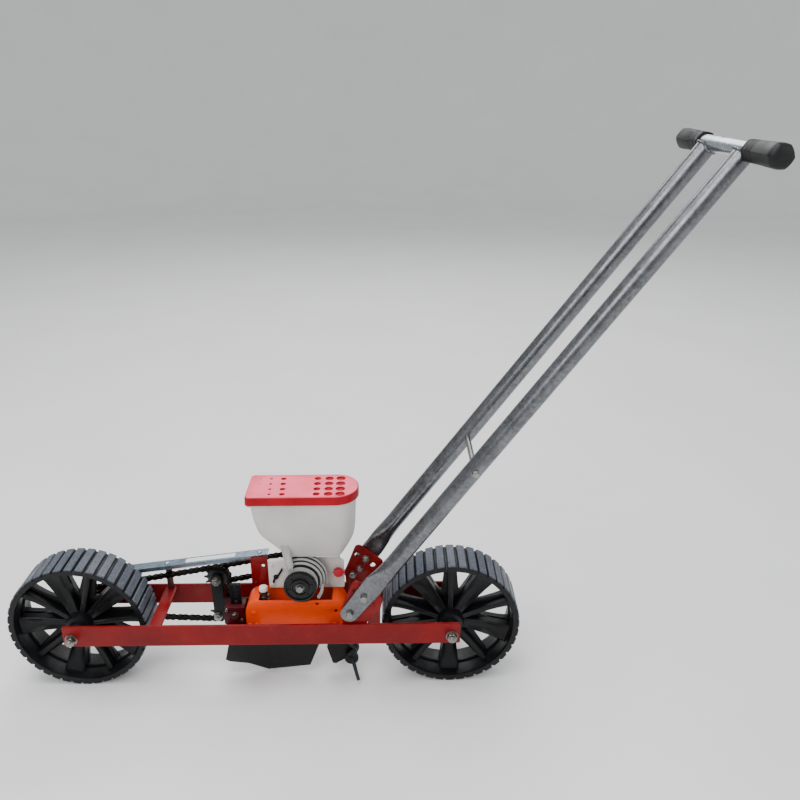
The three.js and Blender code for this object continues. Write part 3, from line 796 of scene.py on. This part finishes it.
def add_knob():
    lo, hi = low("roller_knob"), high("roller_knob")
    radius = hi.z - SHAFT.z
    teeth = 44

    def knurled(reach, y, depth):
        reaches = [reach - (depth if i % 4 in (0, 1) else 0) for i in range(teeth * 4)]
        return round_ring(SHAFT.x, SHAFT.z, y, reaches)

    near = lo.y
    stations = [(12, hi.y, 0), (12, near + 9.5, 0), (radius - 2, near + 9, 0),
                (radius, near + 8, 0.9), (radius, near + 1.2, 0.9),
                (radius - 1, near, 0.2), (20.5, near, 0), (19.8, near + 2.6, 0),
                (13.6, near + 3, 0), (13, near + 0.6, 0), (11.4, near + 0.2, 0),
                (10.8, near + 1.6, 0), (5.2, near + 1.6, 0)]
    rings = [knurled(r, y, depth) for r, y, depth in stations]
    shape = loft(rings)
    for i in range(6):
        ends = [polar(SHAFT.x, SHAFT.z, reach, 60 * i + 12) for reach in (13.2, 20.2)]
        shape += pipe([(x, near + 2.4, z) for x, z in ends], 0.9, 8)
    make("hand_knob", shape, KNOB, "seed_roller", ["roller_knob"])
    lo, hi = low("roller_shaft"), high("roller_shaft")
    radius = hi.z - SHAFT.z
    axle = lathe([(0, lo.y + 1), (radius, lo.y + 1), (radius, hi.y - 0.8), (radius * 0.85, hi.y), (0, hi.y)],
                 SHAFT.x, SHAFT.z, 36)
    axle += bolt(SHAFT.x, SHAFT.z, 10, near + 1.6, -1, 20)
    axle += hexagon(SHAFT.x, SHAFT.z, 15, hi.y - 1.6, hi.y + 3, 10)
    make("drive_shaft", axle, ZINC, "seed_roller", ["roller_shaft"])


add_tray()
add_housing()
add_seed_roller()
add_knob()


# ---- hopper, its back plate, lid and latch
def hopper_ring(x0, x1, half, z, corner, steps=9):
    """Section of the hopper: square front corners lightly rounded, rear end nearly half round."""
    end = min(half * 0.92, (x1 - x0) / 2)
    ring = []
    corners = [(x0 + corner, -half + corner, corner, 180), (x1 - end, -half + end, end, 270),
               (x1 - end, half - end, end, 0), (x0 + corner, half - corner, corner, 90)]
    for cx, cy, radius, start in corners:
        for i in range(steps):
            a = math.radians(start + 90 * i / (steps - 1))
            ring.append((cx + radius * math.cos(a), cy + radius * math.sin(a), z))
    return ring


def add_hopper():
    levels = [(313, 390, 10.5, 210), (305.5, 396, 14.5, 219), (290, 407, 22.5, 240), (277.5, 411, 27, 256),
              (271, 412.5, 31, 280), (268, 414, 32, 304)]
    rows = smooth(levels, 6)
    flange = [(263, 415.5, 33.4, 304.1), (262, 416, 34, 304.7), (262, 416, 34, 306.6),
              (262.6, 415.6, 33.6, 307)]
    wall = 2
    inside = [(x0 + wall, x1 - wall, half - wall, z) for x0, x1, half, z in rows]
    inside.append((271, 412, 30, 307))
    stations = [(*row, 6) for row in rows + flange] + [(*row, 4.4) for row in inside[::-1]]
    rings = [hopper_ring(at(x0), at(x1), half, z, corner) for x0, x1, half, z, corner in stations]
    shape = loft(rings, looped=True)
    shape += block((at(354), -13, 210.2), (at(386), 13, 212.2), 0.5)
    make("hopper_shell", shape, MILKY, "frame", ["hopper"])

    lo, hi = low("hopper_back"), high("hopper_back")
    outline = places([(386, 190), (386, 209.7), (306, 209.7), (306, 190), (279, 188)])
    outline = rounded([(lo.x, lo.z), (hi.x, lo.z), (hi.x, 186), *outline], 2.5, 4)
    screws = [(285, 148), (285, 181), (372, 148)]
    shape = slab(outline, lo.y, hi.y, [circle(SHAFT.x, SHAFT.z, 5.6)], 0.8)
    for x, z in screws:
        shape += screw(at(x), z, 3, lo.y, -1)
    make("back_plate", shape, WHITE, "frame", ["hopper_back"])
    spring = [(286, 152), (288, 159), (293, 164), (297, 170), (300, 176)]
    wire = [(at(x), lo.y - 2.2, z) for x, z in smooth(spring, 4)]
    clip = pipe(wire, 1.5, 10) + screw(at(290), 161, 4, lo.y, -1)
    make("chute_clip", clip, BLACK_PAINT, "frame")


def add_lid():
    lo, hi = low("hopper_lid"), high("hopper_lid")
    half = (hi.y - lo.y) / 2

    def ring(inset, z):
        return hopper_ring(lo.x + inset, hi.x - inset, half - inset, z, max(6 - inset * 0.6, 2), 13)

    tall = hi.z - lo.z
    stations = [(8, tall - 3), (8, 0), (0.5, 0), (0, 0.6), (0.4, 10.6), (0.7, 11.6), (1.4, 12.4), (2.6, tall)]
    shape = loft([ring(inset, lo.z + z) for inset, z in stations])
    columns = [(0.11, 1.2), (0.205, 2.2), (0.318, 3.9), (0.63, 4.8), (0.735, 5.9), (0.84, 6.6)]
    rows = [0.15, 0.36, 0.58, 0.80]
    pits = []
    for along, radius in columns:
        for across in rows[2:] if radius < 2 else rows:
            r = radius
            pit = lathe([(0, -3), (r * 0.7, -2.9), (r * 0.95, -2), (r, -0.3), (r * 1.06, 0),
                         (r * 1.06, 2), (0, 2)], 0, 0, 28)
            shift = 0.012 * (rows[0] - across) if along > 0.5 else 0.03 * (0.5 - across)
            spot = (lo.x + (hi.x - lo.x) * (along + shift), lo.y + (hi.y - lo.y) * across, hi.z)
            pits.append(pit.moved(Matrix.Translation(spot) @ Matrix.Rotation(math.pi / 2, 4, "X")))
    make("lid_cap", carve(shape, total(pits)), LID_PAINTED_LIGHT, "lid", ["hopper_lid"])


def add_latch():
    lo = low("latch_knob")
    x, z = lo.x + 7, middle("latch_knob").z
    profile = [(2.6, 0), (2.6, 3), (6.2, 3.4), (7, 4.4), (7, 8), (6.4, 9.2), (3, 9.8), (0, 9.6)]
    shape = lathe([(r, 12.2 - y) for r, y in profile], x, z, 36)
    for i in range(10):
        px, pz = polar(x, z, 6.9, 36 * i)
        shape += pipe([(px, 8.6, pz), (px, 4, pz)], 0.9, 8)
    tab = slab(rounded(rectangle(x, z - 2.2, x + 10, z + 2.2), 1.6), 5, 8.5)
    make("latch_wing", shape + tab, LATCH, "latch", ["latch_knob"])


def upright(profile, x, y, segments=32):
    """Turned shape standing along Z; profile points are (radius, height)."""
    turned = lathe([(r, -z) for r, z in profile], 0, 0, segments)
    return turned.moved(Matrix.Translation((x, y, 0)) @ Matrix.Rotation(-math.pi / 2, 4, "X"))


def add_hold_down():
    spot = middle("hold_down_screw")
    lo, hi = low("hold_down_screw"), high("hold_down_screw")
    profile = [(0, lo.z), (7.6, lo.z), (7.6, lo.z + 5), (3.6, lo.z + 5)]
    coils = 9
    for i in range(coils):
        z = lo.z + 8 + i * 2.2
        profile += [(3.6, z), (4.1, z + 1.1)]
    z = 128
    for i, r in enumerate((7.5, 5.5, 8, 5.2, 7)):
        profile += [(r, z + i * 3.4), (r, z + i * 3.4 + 2.6), (3.6, z + i * 3.4 + 2.8)]
    profile += [(3.6, hi.z - 6), (0, hi.z - 6)]
    make("hold_down_stud", upright(profile, spot.x, spot.y), ZINC, "frame", ["hold_down_screw"])
    top = hi.z
    cap = [(0, top - 7), (6.4, top - 7), (6.6, top - 3), (5.6, top - 0.6),
           (3, top + 0.4), (0, top + 0.6)]
    make("stud_cap", upright(cap, spot.x, spot.y), WHITE, "frame")


add_hopper()
add_lid()
add_latch()
add_hold_down()


# ---- handle and its brackets
def along_handle(t):
    """Middle of the handle tubes at a distance up from the pivot, as X and Z."""
    return PIVOT.x + t * LEAN.x, PIVOT.z + t * LEAN.z


def add_bracket(side):
    lo, hi = low("bracket_" + side), high("bracket_" + side)
    outline = places([(393, 91), (424, 91), (427.5, 124), (447, 146)])
    outline += arc(at(441), 161, 9, -20, 60, 8) + places([(418, 191)])
    outline += arc(at(413), 186, 7, 60, 160, 8) + places([(391, 148)])
    reach = math.hypot(CLAMP.x - PIVOT.x, CLAMP.z - PIVOT.z)
    holes = [circle(PIVOT.x, PIVOT.z, 4.2)]
    holes += [circle(*polar(PIVOT.x, PIVOT.z, reach, angle), 4.2) for angle in (27, 53.4, 77)]
    shape = slab(outline, lo.y, hi.y, holes, 0.8)
    outer = RAIL_LOW.y + 4 if side == "left" else RAIL_HIGH.y - 4
    sign = -1 if side == "left" else 1
    shape += weld((at(394), outer - sign * 3.6, 91), (at(424), outer - sign * 3.6, 91))
    make("handle_bracket_" + side, shape, RED, "frame", ["bracket_" + side])
    inner = lo.y if side == "right" else hi.y
    extra = bolt(at(414), 153, 8, inner, -sign, 15)
    make("bracket_screw_" + side, extra, ZINC, "frame")


TUBE_FLAT = 52.5  # middle of the pressed ends, out from the middle of the seeder


def tube_ring(t, wide, thick, y, count=40):
    """Section of the handle tube, from round to pressed flat."""
    flat = min(1, max(0, (1 - thick / wide) / 0.85))
    power = 1 - 0.62 * flat
    ring = []
    for i in range(count):
        a = 2 * math.pi * i / count
        across = -wide * math.cos(a)
        off = thick * math.copysign(abs(math.sin(a)) ** power, math.sin(a))
        x, z = along_handle(t)
        ring.append((x - across * LEAN.z, y + off, z + across * LEAN.x))
    return ring


def add_tube(side, sign):
    radius = (high("handle_tube_" + side).y - low("handle_tube_" + side).y) / 2
    flat = sign * TUBE_FLAT
    length = math.hypot(BAR.x - PIVOT.x, BAR.z - PIVOT.z)
    bar = high("handlebar").z - BAR.z
    axis = sign * (high("handle_tube_right").y - radius)
    rows = [(-13.5, 3.5, 1.6, flat), (-12.6, 6.6, 2.4, flat), (-9.5, 10.3, 2.5, flat),
            (-4, 13, 2.5, flat), (10, 13.6, 2.5, flat), (28, 14.3, 2.5, flat),
            (50, 15.6, 2.5, flat), (60, 15.3, 2.8, flat + sign * 0.3), (72, 14.7, 5.4, sign * 55.5),
            (86, 13.4, 9.8, sign * 57.8), (104, radius, radius, axis), (120, radius, radius, axis)]
    rings = [tube_ring(t, wide, thick, y) for t, wide, thick, y in smooth(rows, 4)]
    for t in range(160, int(length) - 20, 40):
        rings.append(tube_ring(t, radius, radius, axis))
    rings.append(tube_ring(length - 16, radius, radius, axis))

    def coped(scale, push):
        ring = []
        for i in range(40):
            a = 2 * math.pi * i / 40
            across = radius * abs(math.cos(a))
            depth = max(math.sqrt(max(0, bar ** 2 - across ** 2)), 6)
            x, z = along_handle(length - depth + push)
            side_step = -radius * scale * math.cos(a)
            y = axis + radius * scale * math.sin(a)
            ring.append(Vector((x - side_step * LEAN.z, y, z + side_step * LEAN.x)))
        return ring

    rings.append(coped(1, -0.2))
    rings.append(coped(0.6, 2))
    shape = loft(rings)
    seam = coped(1.03, -0.4)
    path = [seam[i].lerp(seam[(i + 1) % 40], k / 3) for i in range(40) for k in range(3)]
    ripple = [1.5 + 0.4 * math.cos(i * 2.3) for i in range(len(path))]
    shape += pipe(path, ripple, 8, looped=True)
    make("push_tube_" + side, shape, GALVANISED, "handle", ["handle_tube_" + side])


def add_handle_bolts(side, sign):
    """Pivot and clamp bolts: a head outside the tube and a nut inside the bracket."""
    outer = sign * (TUBE_FLAT + 2.5)
    inner = sign * 46.2

    def ends(spot, head_turn, nut_turn):
        head = bolt(spot.x, spot.z, 9.5, outer, sign, head_turn)
        return head + bolt(spot.x, spot.z, 9.5, inner, -sign, nut_turn, nut=True)

    pivot = ends(PIVOT, 14, 9)
    pivot += lathe([(0, inner), (4, inner), (4, outer), (0, outer)], PIVOT.x, PIVOT.z, 28)
    make("pivot_bolt_set_" + side, pivot, ZINC, "frame", ["pivot_bolt_" + side])
    make("clamp_bolt_set_" + side, ends(CLAMP, 33, 4), ZINC, "handle", ["clamp_bolt_" + side])


def add_brace():
    spot = middle("brace_rod")
    far = high("handle_tube_right").y
    radius = 4
    shape = lathe([(0, -far - 4), (radius, -far - 4), (radius, far + 1), (0, far + 1)],
                  spot.x, spot.z, 28)
    shape += bolt(spot.x, spot.z, 9, far - 0.3, 1, 20)
    shape += bolt(spot.x, spot.z, 9, -far + 0.3, -1, 5, nut=True)
    make("brace_bolt", shape, ZINC, "handle", ["brace_rod"])


def grip_ring(radius, y, count=48):
    """Softened hexagon section of a grip, with one flat uppermost."""
    ring = []
    for i in range(count):
        a = 2 * math.pi * i / count
        fold = (a % (math.pi / 3)) - math.pi / 6
        hexed = math.cos(math.pi / 6) / math.cos(fold)
        r = radius * (0.55 + 0.45 * hexed / 0.93)
        turn = a + LEAN_ANGLE
        ring.append((BAR.x + r * math.cos(turn), y, BAR.z + r * math.sin(turn)))
    return ring


def add_bar():
    lo, hi = low("handlebar"), high("handlebar")
    radius = hi.z - BAR.z
    bar = lathe([(0, lo.y), (radius, lo.y), (radius, hi.y), (0, hi.y)], BAR.x, BAR.z, 48)
    make("push_bar", bar, BRIGHT, "handle", ["handlebar"])
    for side, sign in (("left", -1), ("right", 1)):
        start = min(abs(low("grip_" + side).y), abs(high("grip_" + side).y))
        end = max(abs(low("grip_" + side).y), abs(high("grip_" + side).y))
        rows = [(10.6, start), (12.4, start), (13.3, start + 0.8), (13.3, start + 4), (12.8, start + 5),
                (13, start + 8)]
        for i in range(4):
            y = start + 10 + i * 5
            rows += [(13.3, y), (13, y + 0.6), (13, y + 1.4), (13.4, y + 2)]
        rows += [(14.2, end - 14), (14.4, end - 9), (14, end - 5), (12.8, end - 2.4), (10.4, end - 0.8),
                 (6, end), (AXIS, end)]
        rings = [grip_ring(r, sign * y) for r, y in rows]
        make("hand_grip_" + side, loft(rings), GRIP, "handle", ["grip_" + side])


add_bracket("left")
add_bracket("right")
for side, sign in (("left", -1), ("right", 1)):
    add_tube(side, sign)
    add_handle_bolts(side, sign)
add_brace()
add_bar()


# ---- chains, sprockets and the bearing plate
PITCH = 9.525


def wrap_radius(teeth):
    """Radius at which chain pins a pitch apart along the arc meet every tooth gap."""
    return PITCH * teeth / (2 * math.pi)


def hull(points):
    """Convex outline of points, anticlockwise."""
    points = sorted(points)

    def half(line):
        chain = []
        for p in line:
            while len(chain) > 1 and ((chain[-1][0] - chain[-2][0]) * (p[1] - chain[-2][1])
                                      <= (chain[-1][1] - chain[-2][1]) * (p[0] - chain[-2][0])):
                chain.pop()
            chain.append(p)
        return chain[:-1]

    return half(points) + half(points[::-1])


def pins_of(wheels):
    """Evenly spaced pin places round a chain loop over the given wheels of (x, z, teeth)."""
    rims = [p for x, z, teeth in wheels for p in circle(x, z, wrap_radius(teeth), 180)]
    loop = [Vector(p) for p in hull(rims)]
    steps = [(loop[(i + 1) % len(loop)] - p).length for i, p in enumerate(loop)]
    count = 2 * round(sum(steps) / PITCH / 2)
    spacing = sum(steps) / count
    pins = []
    walked = 0
    for i, step in enumerate(steps):
        while len(pins) < count and len(pins) * spacing <= walked + step + 1e-9:
            t = (len(pins) * spacing - walked) / step
            pins.append(loop[i].lerp(loop[(i + 1) % len(loop)], t))
        walked += step
    return pins


def link_plate(a, b, y0, y1, tall):
    """Chain side plate round two pins, waisted in the middle."""
    run = (b - a).normalized()
    up = Vector((-run.y, run.x))
    outline = []
    for centre, start in ((b, -90), (a, 90)):
        for i in range(7):
            turn = math.radians(start + 30 * i)
            outline.append(centre + (run * math.cos(turn) + up * math.sin(turn)) * tall / 2)
        waist = (a + b) / 2 + up * (tall * 0.36 if start < 0 else -tall * 0.36)
        outline.append(waist)
    rings = []
    centre = (a + b) / 2
    for y, scale in ((y0, 0.93), (y0 + 0.12, 1), (y1 - 0.12, 1), (y1, 0.93)):
        rings.append([(centre.x + (p.x - centre.x) * scale, y, centre.y + (p.y - centre.y) * scale)
                      for p in outline])
    return loft(rings)


def add_chain(name, node, wheels, y):
    pins = pins_of(wheels)
    roller = [(0, -1.8), (3.1, -1.8), (3.1, 1.8), (0, 1.8)]
    pin_end = [(0, -3.9), (1.4, -3.9), (1.6, -3.7), (1.6, 3.7), (1.4, 3.9), (0, 3.9)]
    parts = []
    for i, pin in enumerate(pins):
        ahead = pins[(i + 1) % len(pins)]
        lo, hi = (1.9, 2.6) if i % 2 else (2.8, 3.5)
        for sign in (-1, 1):
            inner, outer = sorted((y + sign * lo, y + sign * hi))
            parts.append(link_plate(pin, ahead, inner, outer, 7.6))
        parts.append(lathe(roller, pin.x, pin.y, 14, base=y))
        parts.append(lathe(pin_end, pin.x, pin.y, 10, base=y))
    make(name, total(parts), CHAIN, "frame", [node])
    return pins


def sprocket_shape(x, z, teeth, y, pins, bore, hub, hub_y):
    """Toothed wheel whose gaps sit on the chain pins nearest to it."""
    radius = wrap_radius(teeth)
    near = min(pins, key=lambda p: abs(math.hypot(p.x - x, p.y - z) - radius))
    first = math.degrees(math.atan2(near.y - z, near.x - x))
    share = 360 / teeth
    outline = []
    for i in range(teeth):
        at_gap = first + share * i
        outline += arc(*polar(x, z, radius, at_gap), 3.3, at_gap + 242, at_gap + 118, 6)
        for part, height in ((0.43, 2.2), (0.5, 2.6), (0.57, 2.2)):
            outline.append(polar(x, z, radius + height, at_gap + share * part))
    shape = slab(outline, y - 1.4, y + 1.4, [circle(x, z, bore, 28)], 0.3)
    lo, hi = hub_y
    return shape + lathe([(bore, lo), (hub, lo), (hub, hi), (bore, hi)], x, z, 36, closed=True)


def add_drive():
    drive_y = middle("drive_chain").y
    transfer_y = middle("roller_chain").y
    axle = (FRONT_AXLE.x, AXLE_Z, 16)
    counter = (COUNTER.x, COUNTER.z, 12)
    idler = (IDLER.x, IDLER.z, 8)
    drive_pins = add_chain("front_chain", "drive_chain", [axle, counter, idler], drive_y)
    small = (COUNTER.x, COUNTER.z, 9)
    roller = (SHAFT.x, SHAFT.z, 9)
    roller_pins = add_chain("rear_chain", "roller_chain", [small, roller], transfer_y)
    drive = (drive_y, drive_pins)
    transfer = (transfer_y, roller_pins)
    rows = [
        ("wheel_sprocket", "drive_sprocket", "front_wheel", axle, drive, 6.05, 12, (32.4, 46)),
        ("counter_wheel", "counter_sprocket", "countershaft", counter, drive, 4, 8.5, (34.4, 41.5)),
        ("transfer_wheel", "transfer_sprocket", "countershaft", small, transfer, 4, 7.5, (42, 48.6)),
        ("roller_wheel", "roller_sprocket", "seed_roller", roller, transfer, 5, 8, (42, 48.4)),
        ("idler_wheel", "idler_sprocket", "idler", idler, drive, 4.05, 6.8, (35, 41)),
    ]
    for name, node, body, (x, z, teeth), (y, pins), bore, hub, hub_y in rows:
        shape = sprocket_shape(x, z, teeth, y, pins, bore, hub, hub_y)
        make(name, shape, STEEL, body, [node])


def add_bearing():
    lo, hi = low("bearing_plate"), high("bearing_plate")
    outline = places([(187, 70), (201, 70), (204, 96), (246, 96), (246, 112), (206, 114)])
    outline += arc(COUNTER.x, COUNTER.z + 1, 9, 0, 180, 12)
    plate = slab(rounded(outline[:6], 3, 4) + outline[6:], lo.y, lo.y + 3, bevel=0.6)
    plate += block((at(224), lo.y + 1, 96), (at(246), hi.y, 99), 0.6)
    plate += weld((at(225), hi.y - 0.6, 99), (at(245), hi.y - 0.6, 99))
    make("bearing_arm", plate, BLACK_PAINT, "frame", ["bearing_plate"])
    near = lo.y
    for name, node, body, spot, end in (("counter_axle", "countershaft", "countershaft", COUNTER, 49),
                                        ("idler_axle", "idler_stud", "frame", IDLER, 43)):
        shape = lathe([(0, near - 4), (4, near - 4), (4, end), (0, end)], spot.x, spot.z, 28)
        shape += bolt(spot.x, spot.z, 11, near, -1, 10, nut=True)
        make(name, shape, ZINC, body, [node])


add_drive()
add_bearing()


# ---- chain cover and its supports
def add_cover():
    lo, hi = low("chain_cover"), high("chain_cover")
    slope = 0.127

    def rise(x):
        return 164 + slope * (x - at(83))

    def strip(y0, y1, drop, lift=0.0):
        corners = [(lo.x, rise(lo.x) - drop), (hi.x, rise(hi.x) - drop), (hi.x, rise(hi.x) + lift),
                   (lo.x, rise(lo.x) + lift)]
        return slab(corners, y0, y1, bevel=0.4)

    shape = strip(lo.y, hi.y, 1.5) + strip(lo.y, lo.y + 1.5, 6.5) + strip(hi.y - 1.5, hi.y, 5)
    for x in (at(121), at(263)):
        head = upright([(0, 0), (3.6, 0), (3.4, 1.4), (1.8, 2.4), (0, 2.5)], 0, 0, 24)
        shape += head.moved(Matrix.Translation((x, middle("chain_cover").y, rise(x) - 0.1)))
    make("cover_sheet", shape, COVER, "frame", ["chain_cover"])
    x0, x1 = at(150), at(226)
    ring = rounded([(x0, lo.y + 4), (x1, lo.y + 4), (x1, hi.y - 3.5), (x0, hi.y - 3.5)], 2, 4)
    label = loft([[(x, y, rise(x) + z) for x, y in ring] for z in (-0.1, 0.35)])
    make("blank_label", label, LABEL, "frame")

    lo, hi = low("cover_post"), high("cover_post")
    outline = places([(250, 95.3), (262, 95.3), (276, 112), (276, 186), (250, 183)])
    post = slab(rounded(outline, 2.5, 4), lo.y, lo.y + 2.5, [circle(at(269), 170, 2.6)], 0.6)
    post += block((at(250), lo.y + 1, 95.3), (at(262), hi.y, 98), 0.5)
    post += screw(at(257), 140, 3.2, lo.y, -1)
    make("cover_post_plate", post, RED, "frame", ["cover_post"])
    lo, hi = low("cover_stay"), high("cover_stay")
    make("cover_stay_bar", block(lo, hi, 0.6), ZINC, "frame", ["cover_stay"])


# ---- opener, its clamp and the soil coverer
def add_opener():
    lo, hi = low("opener_stem"), high("opener_stem")
    middle_x = (lo.x + hi.x) / 2
    holes = [circle(middle_x, z, 2.4, 18) for z in range(128, 156, 12)]
    outline = rounded(rectangle(lo.x, lo.z, hi.x, hi.z), 3, 4)
    stem = slab(outline, lo.y, hi.y, holes, 0.6)
    make("opener_bar", stem, BLACK_PAINT, "opener", ["opener_stem"])

    low_edge = [(206, 21), (212, 18), (242, 17), (273, 8), (337, 15), (349, 46), (361, 76)]
    high_edge = [(206, 21), (219, 76), (361, 76)]

    def height(edge, x):
        for (xa, za), (xb, zb) in zip(edge, edge[1:]):
            if xa <= x <= xb:
                return za + (zb - za) * (x - xa) / (xb - xa)
        return edge[-1][1]

    rings = []
    stations = sorted(set(list(range(206, 362, 3)) + [206.4, 212, 219, 242, 273, 337, 349, 360.6]))
    for x in stations:
        half = 1.5 + 7.5 * min(1, (x - 196) / 74)
        bottom, top = height(low_edge, x), max(height(high_edge, x), height(low_edge, x) + 0.4)
        ring = rounded([(-half, bottom), (half * 0.9, bottom), (half, top), (-half, top)], 0.8, 2)
        rings.append([(at(x), y, z) for y, z in ring])
    chute = block((at(286), -7, -5), (at(346), 7, 100), 1)
    slot = block((lo.x - 0.3, -3, 30), (hi.x + 0.3, 3, 200), 0.2)
    shape = carve(carve(loft(rings), chute), slot)
    for x, z in ((252, 62), (276, 62)):
        shape += screw(at(x), z, 3.4, -9 + (0.6 if x < 270 else 0), -1)
    make("furrow_shoe", shape, BLACK_PAINT, "opener", ["opener_shoe"])

    lo, hi = low("opener_clamp"), high("opener_clamp")
    jaw = carve(block(lo, hi, 1), block((at(221.6), -3.1, 80), (at(238.4), 3.1, 140), 0.1))
    skirt = places([(213, 95.3), (246, 95.3), (243, 117), (238, 125), (219, 125), (213, 118)])
    jaw += slab(rounded(skirt, 2.5, 4), lo.y - 1.6, lo.y + 1, bevel=0.6)
    make("stem_clamp", jaw, MAROON, "frame", ["opener_clamp"])
    spot = middle("clamp_screw")
    heads = bolt(spot.x, spot.z, 9, lo.y - 1.6, -1, 12)
    heads += screw(at(218), 121, 3, lo.y - 1.6, -1) + screw(at(239), 103, 3, lo.y - 1.6, -1)
    make("clamp_bolts", heads, ZINC, "frame", ["clamp_screw"])


def add_coverer():
    lo, hi = low("coverer_arm"), high("coverer_arm")
    outline = places([(373, 90.7), (371, 70), (363, 44), (371, 14), (376, 13), (392, 23)])
    outline += arc(DRAG.x, DRAG.z, 8, -90, 60, 10) + places([(384, 60), (390, 90.7)])
    arm = slab(outline, lo.y, hi.y, [circle(DRAG.x, DRAG.z, 4.1)], 0.8)
    arm += weld((at(373), lo.y, 90.4), (at(390), lo.y, 90.4))
    make("coverer_bar", arm, BLACK_PAINT, "frame", ["coverer_arm"])
    x, z = DRAG.x, DRAG.z
    parts = [lathe([(0, -17), (4, -17), (4, 17), (0, 17)], x, z, 28)]
    for sign in (-1, 1):
        profile = [(4, 4.3), (7, 4.3), (9, 5.5), (9, 8), (7.6, 8.6), (7.6, 9.6), (10.4, 10.2), (10.6, 14.6),
                   (9, 16), (4, 16)]
        parts.append(lathe([(r, sign * y) for r, y in profile], x, z, 44, closed=True))
    for sign, shift, out, foot in ((-1, 9, -34, 6), (1, -13, 30, 7)):
        knots = [(x + 1, sign * 12, z - 3), (x + shift * 0.4, sign * 17, z - 9),
                 (x + shift * 0.8, out * 0.75, z - 17), (x + shift * 1.2, out, foot)]
        path = smooth(knots, 6)
        radii = [3.2 - 0.7 * i / len(path) for i in range(len(path))]
        parts.append(pipe(path, radii, 14))
    make("soil_drag", total(parts), DULL, "coverer", ["soil_coverer"])


add_cover()
add_opener()
add_coverer()


# ---- stage, light and camera
def add_stage():
    """Pale floor that curves up into a round wall well away from the object."""
    flat, radius, top = 5.0, 2.0, 3.0
    profile = [(0.0, 0.0), (flat * 0.5, 0.0)] + arc(flat, radius, radius, 270, 360, 16)
    profile.append((flat + radius, top))
    rings = []
    segments = 96
    for reach, z in profile:
        points = [polar(0, 0, max(reach, 1e-4), 360 * i / segments) for i in range(segments)]
        rings.append([(x, y, z) for x, y in points])
    sweep = loft(rings, capped=False)
    mesh = bpy.data.meshes.new("floor")
    mesh.from_pydata([tuple(v) for v in sweep.verts], [], sweep.faces)
    mesh.shade_smooth()
    floor = bpy.data.objects.new("floor", mesh)
    bpy.context.scene.collection.objects.link(floor)
    look = Look("floor")
    look.colour(look.ramp(look.noise(3, 3), [(0.3, (0.76, 0.76, 0.75)), (0.7, (0.8, 0.8, 0.79))]))
    look.set(Roughness=0.7)
    mesh.materials.append(look.material)


def add_light(name, place, size, power, aim):
    data = bpy.data.lights.new(name, "AREA")
    data.shape = "RECTANGLE"
    data.size, data.size_y = size
    data.energy = power
    lamp = bpy.data.objects.new(name, data)
    bpy.context.scene.collection.objects.link(lamp)
    lamp.location = place
    lamp.rotation_mode = "QUATERNION"
    lamp.rotation_quaternion = (Vector(aim) - Vector(place)).to_track_quat("-Z", "Y")


def add_camera():
    data = bpy.data.cameras.new("camera")
    camera = bpy.data.objects.new("camera", data)
    bpy.context.scene.collection.objects.link(camera)
    bpy.context.scene.camera = camera
    data.sensor_width = 36
    data.lens = 36.16
    camera.location = (FRONT_X * MM + 0.4664, -1.0117, 0.8482)
    yaw, pitch, roll = 0.010, 0.376, -0.004
    camera.rotation_mode = "XYZ"
    camera.rotation_euler = (math.pi / 2 - pitch, 0, -yaw)
    data.clip_end = 30
    camera.rotation_euler.rotate_axis("Z", roll)


add_stage()
add_light("top", (-0.5, -0.2, 2.7), (2.0, 1.6), 62, (0, 0, 0.3))
add_light("key", (-1.2, -2.2, 2.2), (1.8, 1.8), 42, (0, 0, 0.2))
add_light("fill", (2.2, -1.8, 1.6), (1.6, 1.6), 20, (0, 0, 0.3))
add_light("rim", (0.2, 2.4, 2.2), (2.4, 1.2), 40, (0, 0, 0.3))
world = bpy.data.worlds.new("studio")
bpy.context.scene.world = world
world.use_nodes = True
world.node_tree.nodes["Background"].inputs["Color"].default_value = (0.9, 0.92, 0.95, 1)
world.node_tree.nodes["Background"].inputs["Strength"].default_value = 0.7
add_camera()
